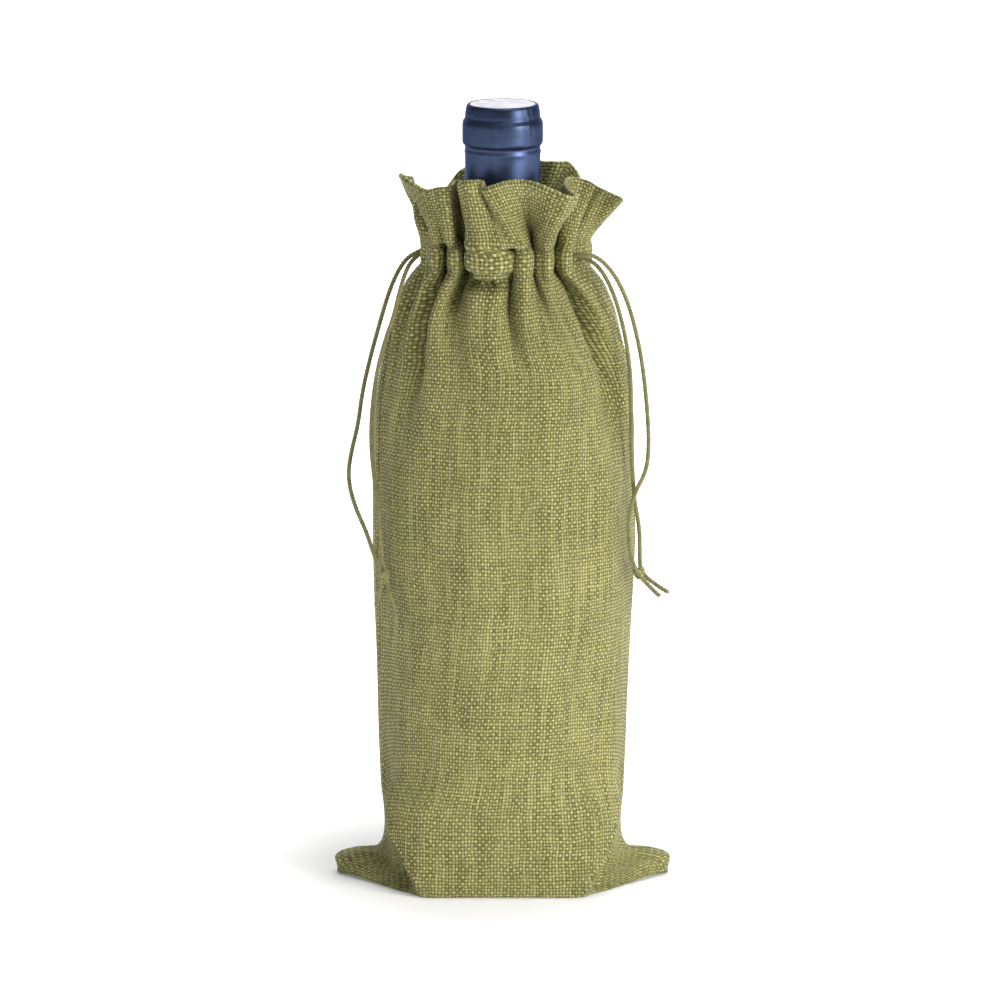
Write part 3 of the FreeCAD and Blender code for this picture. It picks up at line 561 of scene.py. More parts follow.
def cloth_rows():
    """The middle surface of the whole bag, its row heights, and the rows of the channel."""
    places, loops = wall_guides()
    heights = np.arange(0, RUFFLE_TOP_V + ROW_STEP / 2, ROW_STEP)
    wall = interpolate(places, loops, heights)
    normals = grid_normals(wall)
    # the side seams lie in a shallow groove between two soft ridges
    for seam in (0.0, PANEL):
        away = np.abs(away_from(seam))
        ridge = SEAM_RIDGE[0] * bell(away - SEAM_RIDGE_OFFSET, SEAM_RIDGE[1])
        groove = SEAM_GROOVE[0] * bell(away, SEAM_GROOVE[1])
        wall += normals * (ridge - groove)[None, :, None]
    # small puckers where the two rows of stitches gather the cloth
    rng = np.random.default_rng(7)
    pucker = smoothed(rng.normal(size=(COLUMNS, 1)), PUCKER_WIDTH)[:, 0]
    pucker *= PUCKER_HEIGHT / pucker.std()
    for row_v in (CHANNEL_LOW_V, CHANNEL_TOP_V):
        near = np.exp(-(np.abs(heights - row_v) / PUCKER_REACH) ** 1.5)
        wall += normals * near[:, None, None] * pucker[None, :, None]
    # a crease runs up each corner of the base, with a hollow behind it
    past = ACROSS[None] - np.interp(heights, *zip(*CORNER_CREASE))[:, None]
    strength = np.interp(heights, [0.0, 0.004, 0.028, 0.060], [0.2, 1.0, 1.0, 0.0])[:, None]
    shape = CREASE[0] * bell(past, CREASE[1]) - HOLLOW[0] * bell(past - HOLLOW_OFFSET, HOLLOW[1])
    wall += grid_normals(wall) * (strength * shape)[:, :, None]
    wall = clear_of_bottle(wall)
    normals = grid_normals(wall)
    # the cords push the outer layer out between the stitch rows, and the stitches pull it in
    full = np.interp(ROUND, *zip(*FULLNESS))
    # the fullest part is a flap that stays flat from the ruffle down to the tuck
    flap = np.clip((full - 0.4) / 0.5, 0, 1)[None]
    rise = (heights - CHANNEL_LOW_V) / (CHANNEL_TOP_V - CHANNEL_LOW_V)
    flat = np.clip(rise / 0.16, 0, 1) ** 0.5 * np.clip((2.2 - rise) / 1.4, 0, 1)
    round_over = np.sin(math.pi * np.clip(rise, 0, 1)) ** 0.6
    puff = CHANNEL_PUFF * full[None] * (round_over[:, None] * (1 - flap) + 0.85 * flat[:, None] * flap)
    for row_v in (CHANNEL_LOW_V, CHANNEL_TOP_V):
        dent = STITCH_DENT[0] * bell(heights - row_v, STITCH_DENT[1])
        puff -= dent[:, None] * np.minimum(1, full)[None]
    # under the flap the cloth is tucked in
    tuck = bell(heights - CHANNEL_LOW_V + TUCK_BELOW, TUCK_WIDTH)[:, None]
    tuck = tuck * np.clip(full - 0.35, 0, 0.8)[None]
    outer = wall + normals * (puff - TUCK_DEPTH * tuck)[:, :, None]
    # the hem folds over at the top and comes down inside
    up = unit(wall[-1] - wall[-2])
    fold = []
    for turn in (45, 90, 135):
        angle = math.radians(turn)
        centre = wall[-1] - normals[-1] * HEM_GAP / 2
        fold.append(centre + (normals[-1] * math.cos(angle) + up * math.sin(angle)) * HEM_GAP / 2)
    inner = wall - normals * HEM_GAP
    hem = inner[heights >= HEM_END_V][::-1]
    # the base runs in from its crease to the seam across it
    base_share = np.array(BASE_SHARES)[:, None, None]
    seam_line = wall[0].copy()
    seam_line[:, 0] *= SEAM_LINE_STRETCH
    seam_line[:, 1] = 0
    seam_line[:, 2] = SEAM_LINE_Z
    base = seam_line[None] * (1 - base_share) + wall[0][None] * base_share
    base[:, :, 2] = HALF_CLOTH + (wall[0][None, :, 2] - HALF_CLOTH) * base_share[:, :, 0] ** 3
    grid = np.concatenate([base, outer, np.array(fold), hem])
    fold_v = RUFFLE_TOP_V + FOLD_STEP * np.arange(1, 4)
    hem_v = 2 * RUFFLE_TOP_V + 4 * FOLD_STEP - heights[heights >= HEM_END_V][::-1]
    base_v = -BASE_DEPTH * (1 - base_share[:, 0, 0])
    return grid, np.concatenate([base_v, heights, fold_v, hem_v]), outer, normals, heights


cloth_grid, cloth_v, outer_wall, outer_normals, wall_heights = cloth_rows()
cloth_normals = grid_normals(cloth_grid)


def sheet_of_cloth(name, first_column, material):
    """One panel as a thin closed sheet, from one side seam to the other."""
    columns = (first_column + np.arange(COLUMNS // 2 + 1)) % COLUMNS
    middle = cloth_grid[:, columns]
    normals = cloth_normals[:, columns]
    rows, width = middle.shape[:2]
    outer = (middle + normals * HALF_CLOTH).reshape(-1, 3)
    inner = (middle - normals * HALF_CLOTH).reshape(-1, 3)
    vertices = np.vstack([outer, inner])
    index = np.arange(rows * width).reshape(rows, width)
    a = index[:-1, :-1].ravel()
    b = index[:-1, 1:].ravel()
    c = index[1:, 1:].ravel()
    d = index[1:, :-1].ravel()
    shift = rows * width
    faces = [np.stack([a, b, c, d], axis=1), np.stack([d, c, b, a], axis=1) + shift]
    for edge in (index[0, ::-1], index[-1], index[:, 0], index[::-1, -1]):
        p = edge[:-1]
        q = edge[1:]
        faces.append(np.stack([p, q, q + shift, p + shift], axis=1))
    faces = np.vstack(faces)
    piece = mesh_object(name, vertices, faces, material)
    mesh = piece.data
    across = (first_column + np.arange(width)) * LOOP / COLUMNS
    flat = np.stack(np.meshgrid(cloth_v, across, indexing="ij")[::-1], axis=-1).reshape(-1, 2)
    flat = np.vstack([flat, flat]) * 1000
    layer = mesh.uv_layers.new(name="cloth")
    loops = np.empty(len(mesh.loops), np.int32)
    mesh.loops.foreach_get("vertex_index", loops)
    layer.data.foreach_set("uv", flat[loops].astype(np.float32).ravel())
    return piece


# ================================================================== materials
class Nodes:
    """A short way to write a material's node tree."""

    def __init__(self, name):
        self.material = bpy.data.materials.new(name)
        self.material.use_nodes = True
        self.tree = self.material.node_tree
        self.tree.nodes.clear()
        self.output = self.tree.nodes.new("ShaderNodeOutputMaterial")

    def put(self, kind, inputs=(), **settings):
        node = self.tree.nodes.new("ShaderNode" + kind)
        for key, value in settings.items():
            setattr(node, key, value)
        for key, value in dict(inputs).items():
            self.feed(node.inputs[key], value)
        return node

    def feed(self, socket, value):
        if isinstance(value, bpy.types.NodeSocket):
            self.tree.links.new(value, socket)
        elif isinstance(value, bpy.types.Node):
            self.tree.links.new(value.outputs[0], socket)
        else:
            socket.default_value = value

    def math(self, operation, first, second=0.0, third=0.0):
        return self.put("Math", {0: first, 1: second, 2: third}, operation=operation).outputs[0]

    def noise(self, vector, scale, detail=2.0, rough=0.5):
        inputs = {"Vector": vector, "Scale": scale, "Detail": detail, "Roughness": rough}
        return self.put("TexNoise", inputs).outputs["Fac"]

    def spread(self, value, low, high, to_low=0.0, to_high=1.0):
        inputs = {"Value": value, 1: low, 2: high, 3: to_low, 4: to_high}
        return self.put("MapRange", inputs).outputs[0]

    def mix(self, share, first, second):
        node = self.tree.nodes.new("ShaderNodeMix")
        node.data_type = "RGBA"
        self.feed(node.inputs[0], share)
        self.feed(node.inputs[6], first)
        self.feed(node.inputs[7], second)
        return node.outputs[2]

    def bump(self, strength, distance, height):
        return self.put("Bump", {"Strength": strength, "Distance": distance, "Height": height})

    def place(self):
        return self.put("TexCoord").outputs["Object"]

    def scaled(self, x, x_scale, y, y_scale):
        across = self.math("MULTIPLY", x, x_scale)
        up = self.math("MULTIPLY", y, y_scale)
        return self.put("CombineXYZ", {0: across, 1: up})

    def finish(self, inputs):
        shader = self.put("BsdfPrincipled", inputs)
        self.tree.links.new(shader.outputs[0], self.output.inputs["Surface"])
        return self.material


def linen(name, painted_gap_shade, shade, light):
    """Coarse plain-weave cloth: warp up the bag and weft round it, in threads of uneven thickness."""
    n = Nodes(name)
    uv = n.put("UVMap", uv_map="cloth")
    parts = n.put("SeparateXYZ", {0: uv})
    sway = n.put("TexNoise", {"Vector": uv, "Scale": 0.12, "Detail": 1.0})
    sway_parts = n.put("SeparateXYZ", {0: sway.outputs["Color"]})
    u = n.math("ADD", parts.outputs[0], n.spread(sway_parts.outputs[0], 0, 1, -0.7, 0.7))
    v = n.math("ADD", parts.outputs[1], n.spread(sway_parts.outputs[1], 0, 1, -0.8, 0.8))
    u = n.math("DIVIDE", u, WARP_PITCH)
    v = n.math("DIVIDE", v, WEFT_PITCH)
    warp = n.math("FLOOR", u)
    weft = n.math("FLOOR", v)
    # each thread has its own shade and thickness, which change slowly along the thread
    warp_place = n.scaled(warp, 7.31, v, 0.05)
    weft_place = n.scaled(u, 0.10, weft, 5.77)
    warp_shade = n.spread(n.noise(warp_place, 1.0, 1.0), 0.3, 0.7)
    weft_shade = n.spread(n.noise(weft_place, 1.0, 1.0), 0.3, 0.7)

    def float_height(across, along, number, thick):
        """Height of a thread: round across its width, over and under the crossing threads."""
        body = n.math("ABSOLUTE", n.math("SINE", n.math("MULTIPLY", across, math.pi)))
        body = n.math("POWER", body, 0.55)
        phase = n.math("MULTIPLY", n.math("ADD", along, number), math.pi)
        rise = n.math("MULTIPLY_ADD", n.math("SINE", phase), 0.5, n.spread(thick, 0, 1, 0.48, 0.52))
        return n.math("MULTIPLY", body, rise)

    warp_height = float_height(u, v, warp, warp_shade)
    weft_height = float_height(v, u, n.math("ADD", weft, 1.0), weft_shade)
    height = n.math("MAXIMUM", warp_height, weft_height)
    warp_share = n.math("GREATER_THAN", warp_height, weft_height)
    weft_share = n.math("SUBTRACT", 1.0, warp_share)
    cell = n.put("CombineXYZ", {0: warp, 1: weft})
    speck = n.put("TexWhiteNoise", {"Vector": cell}, noise_dimensions="2D").outputs["Value"]
    # painted highlight: the weft is painted lighter where it arches over the warp, as if it caught the
    # light, in some broad bands more than others, and the warp a little lighter there too
    band = n.scaled(u, 0.075, v, 0.012)
    glint = n.spread(n.noise(band, 1.0, 2.0), 0.35, 0.65, 0.78, 1.15)
    painted_highlight = n.math("MULTIPLY", n.spread(height, 0.70, 1.0), glint)
    weft_tone_and_highlight = n.math("MULTIPLY_ADD", n.math("MULTIPLY_ADD", weft_shade, 0.40, 0.46), painted_highlight, 0.25)
    warp_tone_and_highlight = n.math("MULTIPLY_ADD", warp_shade, 0.28, n.math("MULTIPLY_ADD", painted_highlight, 0.16, 0.06))
    shares = n.math("ADD", n.math("MULTIPLY", warp_tone_and_highlight, warp_share),
                    n.math("MULTIPLY", weft_tone_and_highlight, weft_share))
    broad = n.noise(uv, 0.045, 3.0)
    flecks = n.noise(uv, 1.5, 1.0)
    for value, low, high, amount in (
        (speck, 0, 1, 0.09),
        (broad, 0.3, 0.7, 0.05),
        (flecks, 0.3, 0.7, 0.17),
        (warp_shade, 0, 1, 0.04),
    ):
        shares = n.math("ADD", shares, n.spread(value, low, high, -amount, amount))
    colour = n.mix(n.spread(shares, 0, 1), shade, light)
    # painted shade in the gaps between the threads, where the weave is low
    colour = n.mix(n.spread(height, 0.18, 0.54), painted_gap_shade, colour)
    fibre = n.noise(uv, 7.0, 2.0)
    relief = n.math("ADD", height, n.math("MULTIPLY", fibre, 0.3))
    bump = n.bump(1.0, 0.00050, relief)
    return n.finish({
        "Base Color": colour,
        "Roughness": n.spread(height, 0.2, 1.0, 0.85, 0.55),
        "Specular IOR Level": 0.35,
        "Sheen Weight": 0.06,
        "Sheen Roughness": 0.45,
        "Normal": bump,
    })


def twisted(name, dark, light, scale):
    """Thread or cord: fine fibres, a little darker in places."""
    n = Nodes(name)
    place = n.place()
    fibre = n.noise(place, scale, 3.0, 0.6)
    patch = n.noise(place, scale * 0.12, 2.0)
    share = n.math("ADD", n.spread(fibre, 0.3, 0.7, 0.0, 0.7), n.spread(patch, 0.3, 0.7, 0.0, 0.3))
    bump = n.bump(0.5, 0.0001, fibre)
    return n.finish({
        "Base Color": n.mix(share, dark, light),
        "Roughness": n.spread(fibre, 0.2, 0.8, 0.6, 0.85),
        "Specular IOR Level": 0.3,
        "Sheen Weight": 0.15,
        "Normal": bump,
    })


def foil(name, dark, light, rough, metallic, lip_z):
    """Lacquered metal foil with fine lines drawn round it and faint handling marks, darker above lip_z."""
    n = Nodes(name)
    place = n.place()
    parts = n.put("SeparateXYZ", {0: place})
    lines = n.put("CombineXYZ", {2: n.math("MULTIPLY", parts.outputs[2], 5200.0)})
    drawn = n.noise(lines, 1.0, 2.0)
    marks = n.noise(place, 160.0, 3.0)
    share = n.math("ADD", n.spread(drawn, 0.3, 0.7, 0.0, 0.3), n.spread(marks, 0.3, 0.7, 0.0, 0.7))
    # the colour is made darker above lip_z
    share = n.math("SUBTRACT", share, n.spread(parts.outputs[2], lip_z, lip_z + 0.0005, 0.0, 0.5))
    relief = n.math("ADD", n.math("MULTIPLY", drawn, 0.2), marks)
    bump = n.bump(0.06, 0.0002, relief)
    return n.finish({
        "Base Color": n.mix(share, dark, light),
        "Metallic": metallic,
        "Specular Tint": (0.35, 0.35, 0.42, 1),
        "Roughness": n.spread(marks, 0.3, 0.7, rough - 0.05, rough + 0.06),
        "Normal": bump,
    })


def bottle_glass_material():
    n = Nodes("dark_green_glass")
    place = n.place()
    ripple = n.noise(place, 60.0, 2.0)
    haze = n.noise(place, 25.0, 3.0)
    bump = n.bump(0.10, 0.0008, ripple)
    return n.finish({
        "Base Color": n.mix(n.spread(ripple, 0.3, 0.7), (0.006, 0.020, 0.007, 1), (0.012, 0.036, 0.011, 1)),
        "Roughness": n.spread(haze, 0.3, 0.7, 0.04, 0.09),
        "IOR": 1.52,
        "Specular IOR Level": 0.2,
        "Transmission Weight": 0.10,
        "Normal": bump,
    })


def wine_material():
    n = Nodes("red_wine")
    place = n.place()
    cloud = n.noise(place, 35.0, 2.0)
    return n.finish({
        "Base Color": n.mix(n.spread(cloud, 0.3, 0.7), (0.05, 0.002, 0.006, 1), (0.10, 0.004, 0.012, 1)),
        "Roughness": n.spread(cloud, 0.3, 0.7, 0.02, 0.06),
        "IOR": 1.34,
        "Transmission Weight": 0.4,
    })


def cork_material():
    n = Nodes("natural_cork")
    place = n.place()
    grain = n.noise(place, 420.0, 4.0, 0.65)
    pits = n.put("TexVoronoi", {"Vector": place, "Scale": 700.0}).outputs["Distance"]
    colour = n.mix(n.spread(grain, 0.3, 0.7), (0.42, 0.25, 0.12, 1), (0.68, 0.49, 0.30, 1))
    colour = n.mix(n.spread(pits, 0.05, 0.2), (0.20, 0.11, 0.05, 1), colour)
    bump = n.bump(0.5, 0.0003, n.math("ADD", grain, pits))
    rough = n.spread(grain, 0, 1, 0.7, 0.95)
    return n.finish({"Base Color": colour, "Roughness": rough, "Normal": bump})


def plain_floor():
    n = Nodes("pale_floor")
    place = n.place()
    patch = n.noise(place, 3.0, 3.0)
    away = n.put("VectorMath", {0: place}, operation="LENGTH").outputs["Value"]
    # the floor glows as painted light, weaker within about 0.1 m of the bag so that a soft shadow stays
    # round it, and stronger further out
    near = n.spread(away, 0.07, 0.17, 0.12, 0.80)
    far = n.spread(away, 0.4, 2.2, 0.0, FLOOR_GLOW)
    return n.finish({
        "Base Color": n.mix(patch, (0.86, 0.86, 0.87, 1), (0.90, 0.90, 0.90, 1)),
        "Roughness": 0.9,
        "Specular IOR Level": 0.1,
        "Emission Color": (1.0, 1.0, 1.0, 1),
        "Emission Strength": n.math("ADD", near, far),
    })


cloth_material = linen(
    "olive_linen",
    # the colour of the painted shade in the gaps between the threads
    painted_gap_shade=(0.026, 0.024, 0.005, 1),
    shade=(0.108, 0.104, 0.025, 1),
    # the lightest threads, and the colour that the painted highlights go towards
    light=(0.57, 0.545, 0.205, 1),
)
thread_material = twisted("olive_thread", (0.10, 0.095, 0.030, 1), (0.28, 0.27, 0.10, 1), 5000.0)
cord_material = twisted("olive_cord", (0.075, 0.070, 0.022, 1), (0.30, 0.28, 0.11, 1), 4200.0)
capsule_material = foil(
    "satin_blue_foil",
    dark=(0.038, 0.053, 0.103, 1),
    light=(0.070, 0.099, 0.200, 1),
    rough=0.36,
    metallic=0.9,
    lip_z=0.2846,
)
disc_material = foil(
    "silver_foil",
    dark=(0.40, 0.40, 0.43, 1),
    light=(0.95, 0.95, 0.96, 1),
    rough=0.40,
    metallic=0.4,
    lip_z=1.0,
)
glass_material = bottle_glass_material()
wine_finish = wine_material()
cork_finish = cork_material()
floor_material = plain_floor()


# ================================================================== the bag
front_cloth = sheet_of_cloth("front_cloth", 0, cloth_material)
back_cloth = sheet_of_cloth("back_cloth", COLUMNS // 2, cloth_material)
place_piece(front_cloth, "bag", "bag_cloth", "front_panel", "front_neck")
place_piece(back_cloth, "bag", "bag_cloth", "back_panel", "back_neck")


# ================================================================== rope, thread and knots
def frames_along(path):
    """Tangent and two cross directions at each point of a line, turning as little as possible."""
    tangent = unit(np.gradient(path, axis=0))
    side = np.cross(tangent[0], (0.0, 0.0, 1.0))
    if np.linalg.norm(side) < 0.1:
        side = np.cross(tangent[0], (1.0, 0.0, 0.0))
    sides = []
    for direction in tangent:
        side = side - direction * np.dot(side, direction)
        side = side / np.linalg.norm(side)
        sides.append(side)
    sides = np.array(sides)
    return tangent, sides, np.cross(tangent, sides)


def ring_faces(rings, sides):
    """Faces between rings of vertices, with a flat face at both ends."""
    faces = []
    for k in range(rings - 1):
        for j in range(sides):
            a = k * sides + j
            b = k * sides + (j + 1) % sides
            faces.append((a, b, b + sides, a + sides))
    faces.append(tuple(range(sides - 1, -1, -1)))
    last = (rings - 1) * sides
    faces.append(tuple(range(last, last + sides)))
    return faces


def tube(path, radius, sides):
    """Vertices and faces of a round tube with closed ends."""
    _, first, second = frames_along(path)
    radii = np.broadcast_to(np.asarray(radius, float), (len(path),))
    turn = np.arange(sides) * 2 * math.pi / sides
    ring = first[:, None] * np.cos(turn)[None, :, None] + second[:, None] * np.sin(turn)[None, :, None]
    vertices = (path[:, None] + ring * radii[:, None, None]).reshape(-1, 3)
    return vertices, ring_faces(len(path), sides)


def joined(parts):
    """Several meshes as one list of vertices and faces."""
    vertices = []
    faces = []
    count = 0
    for part_vertices, part_faces in parts:
        vertices.append(part_vertices)
        faces += [tuple(i + count for i in face) for face in part_faces]
        count += len(part_vertices)
    return np.vstack(vertices), faces


def evenly(path, step):
    """Points at equal steps along a line, and their distances from its start."""
    run = run_along(path)
    at = np.linspace(0, run[-1], int(run[-1] / step) + 1)
    return np.stack([np.interp(at, run, path[:, k]) for k in range(3)], axis=1), at


def rope(path, pitch):
    """Strands twisted round a line."""
    points, at = evenly(path, 0.00035)
    _, first, second = frames_along(points)
    parts = []
    for number in range(STRANDS):
        turn = 2 * math.pi * (at / pitch + number / STRANDS)
        out = first * np.cos(turn)[:, None] + second * np.sin(turn)[:, None]
        parts.append(tube(points + STRAND_OFFSET * out, STRAND_RADIUS, 7))
    return joined(parts)


def frayed_end(path, count, seed):
    """Loose fibres at the cut end of a cord."""
    rng = np.random.default_rng(seed)
    end = path[-1]
    tangent, first, second = frames_along(path)
    parts = []
    for _ in range(count):
        turn = rng.uniform(0, 2 * math.pi)
        out = first[-1] * math.cos(turn) + second[-1] * math.sin(turn)
        reach = rng.uniform(0.0010, 0.0021)
        splay = rng.uniform(0.0002, 0.0009)
        steps = np.linspace(0, 1, 5)[:, None]
        start = end - tangent[-1] * 0.0006 + out * rng.uniform(0.0001, 0.0005)
        line = start + tangent[-1] * reach * steps + out * splay * steps ** 2
        parts.append(tube(line, FIBRE_RADIUS, 5))
    return joined(parts)


def route_points(name, route):
    """The points of the smooth line that a cord's route draws."""
    curve = bpy.data.curves.new(name + "_route", "CURVE")
    curve.dimensions = "3D"
    curve.resolution_u = 24
    spline = curve.splines.new("NURBS")
    spline.points.add(len(route) - 1)
    for point, place in zip(spline.points, route):
        point.co = (*place, 1.0)
    spline.order_u = 3
    spline.use_endpoint_u = True
    holder = bpy.data.objects.new(name + "_route", curve)
    mesh = bpy.data.meshes.new_from_object(holder)
    points = np.array([v.co for v in mesh.vertices], float)
    bpy.data.meshes.remove(mesh)
    bpy.data.objects.remove(holder)
    bpy.data.curves.remove(curve)
    return points


def knot_line(centre, size, tilt, turn):
    """The line of an overhand knot pulled tight."""
    t = np.linspace(0, 2 * math.pi, 120, endpoint=True)
    line = np.stack([
        np.sin(t) + 2 * np.sin(2 * t),
        np.cos(t) - 2 * np.cos(2 * t),
        -1.3 * np.sin(3 * t),
    ], axis=1)
    line *= size / 3.0
    a = math.radians(tilt)
    b = math.radians(turn)
    x = line[:, 0]
    y = line[:, 1] * math.cos(a) - line[:, 2] * math.sin(a)
    z = line[:, 1] * math.sin(a) + line[:, 2] * math.cos(a)
    line = np.stack([x * math.cos(b) - y * math.sin(b), x * math.sin(b) + y * math.cos(b), z], axis=1)
    return line + np.array(centre)


def draw_cord(side, body, routes, knot_centre, seed):
    knot = mesh_object(
        f"{side}_knot_rope",
        *joined([rope(knot_line(knot_centre, *values), KNOT_PITCH) for values in KNOT_LINES]),
        cord_material,
    )
    place_piece(knot, body, "cord", f"{side}_knot")
    for number, (place, route) in enumerate(zip(("front", "rear"), routes)):
        name = f"{side}_{place}_cord"
        path = route_points(name, route)
        parts = [rope(path, CORD_PITCH), frayed_end(path, FIBRES, seed + number)]
        strand = mesh_object(name, *joined(parts), cord_material)
        place_piece(strand, body, "cord", f"{side}_drawcord_{place}_strand")


draw_cord("left", "left_loop", (LEFT_FRONT_ROUTE, LEFT_REAR_ROUTE), LEFT_KNOT, 11)
draw_cord("right", "right_loop", (RIGHT_FRONT_ROUTE, RIGHT_REAR_ROUTE), RIGHT_KNOT, 21)


def wall_point(c, v, lift):
    """A point on the outside of the bag, lifted off the cloth by a small distance."""
    column = (c % LOOP) / LOOP * COLUMNS
    row = min(v / ROW_STEP, len(wall_heights) - 1.001)
    i = int(row)
    j = int(column)
    p = row - i
    q = column - j
    k = (j + 1) % COLUMNS
    j = j % COLUMNS

    def blend(grid):
        low = grid[i, j] * (1 - q) + grid[i, k] * q
        high = grid[i + 1, j] * (1 - q) + grid[i + 1, k] * q
        return low * (1 - p) + high * p

    return blend(outer_wall) + unit(blend(outer_normals)) * (HALF_CLOTH + lift)


def stitch_line(places, spacing, length, radius, proud):
    """Separate stitches along a line of (c, v) places on the outside of the bag."""
    line = np.array(places, float)
    run = run_along(line)
    parts = []
    for start in np.arange(spacing / 2, run[-1] - length, spacing):
        points = []
        for share in np.linspace(0, 1, 6):
            at = start + share * length
            c = np.interp(at, run, line[:, 0])
            v = np.interp(at, run, line[:, 1])
            lift = proud - 2.2 * radius * (2 * share - 1) ** 6
            points.append(wall_point(c, v, lift))
        parts.append(tube(np.array(points), radius, 6))
    return joined(parts)


def add_stitches(name, replaced, places, stitch):
    piece = mesh_object(name, *stitch_line(places, **stitch), thread_material)
    place_piece(piece, "bag", "thread", replaced)


ring = np.linspace(0.0015, LOOP - 0.0015, 400)
seam = np.linspace(0.016, CHANNEL_LOW_V - 0.001, 300)
for name, v in (("upper", CHANNEL_TOP_V), ("lower", CHANNEL_LOW_V)):
    places = [(c, v) for c in ring]
    add_stitches(f"{name}_channel_stitches", f"{name}_channel_stitching", places, CHANNEL_STITCH)
for name, c in (("left", 0.0), ("right", PANEL)):
    places = [(c, v) for v in seam]
    add_stitches(f"{name}_seam_stitches", f"{name}_side_seam_thread", places, SEAM_STITCH)


def channel_cord(name, node, row_v, gap_place):
    """The unseen run of a draw cord round the neck, inside the channel."""
    start = gap_place + CHANNEL_CORD_GAP
    around = np.linspace(start, gap_place + LOOP - CHANNEL_CORD_GAP, 420)
    path = np.array([wall_point(c, row_v, -CLOTH - CORD_DIAMETER / 2) for c in around])
    for _ in range(6):
        path[1:-1] = (path[:-2] + 2 * path[1:-1] + path[2:]) / 4
    cord = mesh_object(name, *tube(path, CORD_DIAMETER / 2, 8), cord_material)
    place_piece(cord, "bag", "cord", node)


for side, rise, gap_place in (("left", LEFT_CORD_RISE, 0.0), ("right", RIGHT_CORD_RISE, PANEL)):
    channel_cord(f"{side}_cord_in_channel", f"{side}_drawcord_in_channel", CHANNEL_LOW_V + rise, gap_place)


# ================================================================== the bottle
def lathe(name, profile, material, segments=160, bump=None):
    """A turned shape from (radius, height) pairs, with an optional change of radius."""
    turn = np.arange(segments) * 2 * math.pi / segments
    vertices = []
    for radius, z in profile:
        for angle in turn:
            r = radius + (bump(angle, z) if bump else 0.0)
            vertices.append((r * math.cos(angle), r * math.sin(angle), z))
    return mesh_object(name, vertices, ring_faces(len(profile), segments), material)


CAPSULE_PROFILE = [
    (0.01392, 0.2400), (0.01430, 0.2400), (0.01432, 0.2412), (0.01430, 0.2600), (0.01430, 0.2792),
    (0.01434, 0.2808), (0.01450, 0.2815), (0.01452, 0.2819), (0.01438, 0.2824), (0.01428, 0.2831),
    (0.01426, 0.2836), (0.01432, 0.2840), (0.01500, 0.2848), (0.01522, 0.2852), (0.01530, 0.2860),
    (0.01532, 0.2875), (0.01532, 0.2905), (0.01530, 0.2917), (0.01524, 0.2928), (0.01500, 0.2936),
    (0.01460, 0.2941), (0.01434, 0.2946), (0.01424, 0.2951), (0.01424, 0.2956), (0.01422, 0.2961),
    (0.01414, 0.2968), (0.01402, 0.2976), (0.01390, 0.2984), (0.01372, 0.2991), (0.01342, 0.29965),
    (0.01300, 0.2999), (0.01262, 0.2999), (0.01245, 0.2996), (0.01240, 0.29945),
]


def foil_crease(angle, z):
    """A narrow fold of spare foil down the right of the lip, and faint dents."""
    share = min(1.0, max(0.0, (z - 0.2855) / 0.006))
    place = math.radians(322) + 0.03 * math.sin(z * 900)
    crease = 0.00030 * bell(angle - place, 0.05) + 0.00018 * bell(angle - place + 0.16, 0.06)
    dents = 0.00003 * math.sin(3 * angle + z * 300) * math.sin(7 * angle - z * 210)
    return share * crease + dents


capsule = lathe("capsule", CAPSULE_PROFILE, capsule_material, bump=foil_crease)
place_piece(capsule, "bottle", "capsule_foil", "capsule_sleeve")

DISC_PROFILE = [
    (0.01236, 0.2991), (0.01244, 0.2994), (0.01240, 0.2997), (0.01220, 0.29982), (0.01120, 0.29980),
    (0.01085, 0.29962), (0.01050, 0.29978), (0.00700, 0.29986), (0.00300, 0.29990), (0.00020, 0.29992),
]
disc = lathe("capsule_disc", DISC_PROFILE, disc_material)
place_piece(disc, "bottle", "capsule_top", "capsule_top_disc")

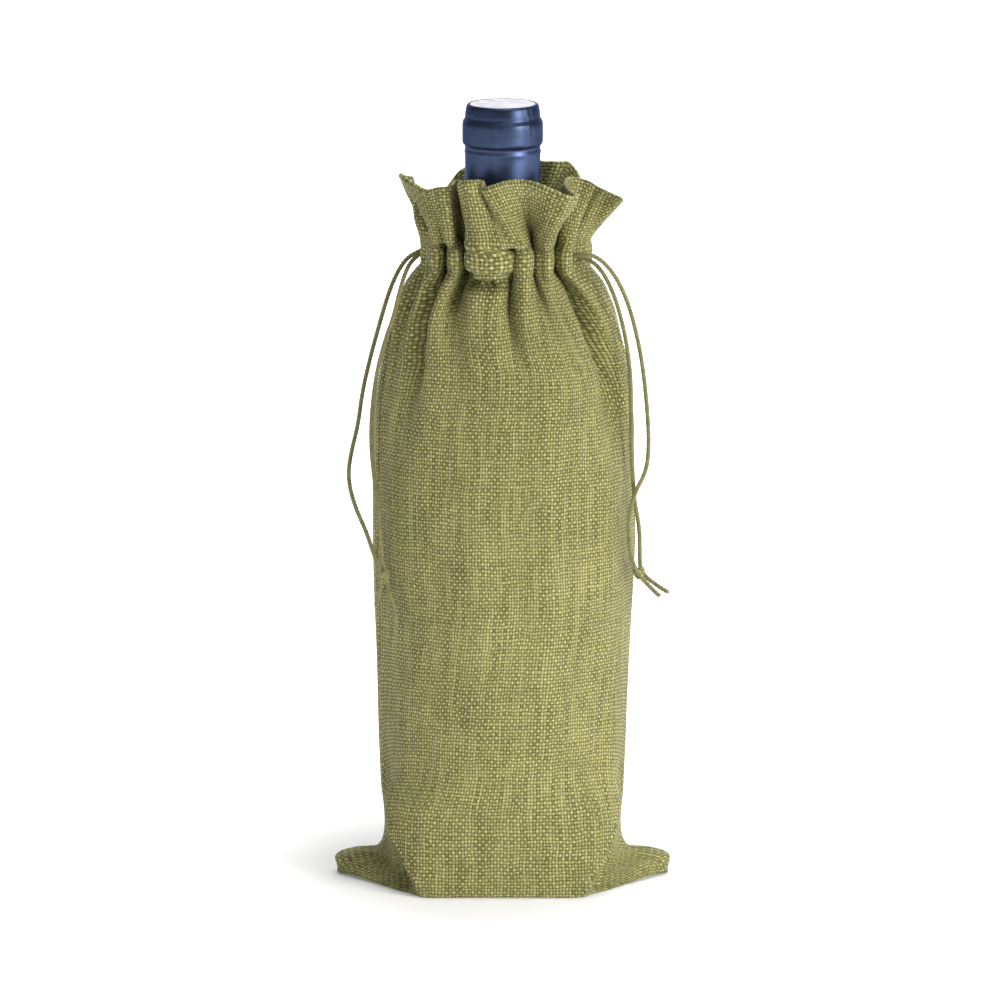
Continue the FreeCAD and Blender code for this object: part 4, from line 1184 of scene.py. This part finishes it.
# the wine stands a little inside the glass, over the dome of the punt
WINE_PROFILE = [
    (0.0002, 0.0244), (0.0080, 0.0229), (0.0158, 0.0186), (0.0225, 0.0138), (0.0284, 0.0076),
    (0.0336, 0.0114), (0.0338, 0.0130), (0.0338, 0.1876), (0.0335, 0.1925), (0.0316, 0.1990),
    (0.0288, 0.2040), (0.0254, 0.2082), (0.0212, 0.2122), (0.0173, 0.2158), (0.0142, 0.2198),
    (0.0120, 0.2246), (0.0105, 0.2290), (0.0097, 0.2340), (0.0088, 0.2362),
]
wine = lathe("wine_fill", WINE_PROFILE, wine_finish, segments=128)
place_piece(wine, "bottle", "wine", "wine")

for node_name, material in (
    ("bottle_glass", glass_material),
    ("cork", cork_finish),
    ("bottom_seam_thread", thread_material),
):
    mesh = nodes[node_name].data
    mesh.materials.clear()
    mesh.materials.append(material)


# ================================================================== floor, light and camera
def floor_sheet():
    """A pale floor that rises into a wall far behind the bag."""
    across = np.linspace(-FLOOR_SIDE, FLOOR_SIDE, 9)
    line = [(FLOOR_FRONT, 0.0), (0.0, 0.0), (BEND_START - 0.1, 0.0)]
    for turn in range(0, 91, 10):
        angle = math.radians(turn)
        line.append((BEND_START + BEND_RADIUS * math.sin(angle), BEND_RADIUS * (1 - math.cos(angle))))
    line.append((BEND_START + BEND_RADIUS, WALL_TOP))
    vertices = [(x, y, z) for y, z in line for x in across]
    faces = []
    for k in range(len(line) - 1):
        for j in range(len(across) - 1):
            a = k * len(across) + j
            faces.append((a, a + 1, a + 1 + len(across), a + len(across)))
    floor = mesh_object("floor", vertices, faces, floor_material)


def softbox(name, place, target, width, height, power, colour, spread):
    data = bpy.data.lights.new(name, "AREA")
    data.shape = "RECTANGLE"
    data.size = width
    data.size_y = height
    data.energy = power
    data.color = colour
    data.spread = math.radians(spread)
    lamp = link(bpy.data.objects.new(name, data))
    lamp.location = place
    lamp.rotation_euler = (Vector(target) - Vector(place)).to_track_quat("-Z", "Y").to_euler()


floor_sheet()
for light in LIGHTS:
    softbox(*light)

world = bpy.data.worlds.new("studio")
scene.world = world
world.use_nodes = True
world.node_tree.nodes["Background"].inputs[0].default_value = (1.0, 1.0, 1.0, 1.0)
world.node_tree.nodes["Background"].inputs[1].default_value = WORLD_STRENGTH

camera_data = bpy.data.cameras.new("camera")
camera_data.lens = CAMERA_LENS
camera_data.sensor_width = 36.0
camera_data.clip_end = 50.0
camera = link(bpy.data.objects.new("camera", camera_data))
camera.location = CAMERA_PLACE
camera.rotation_euler = (Vector(CAMERA_TARGET) - Vector(CAMERA_PLACE)).to_track_quat("-Z", "Y").to_euler()
scene.camera = camera
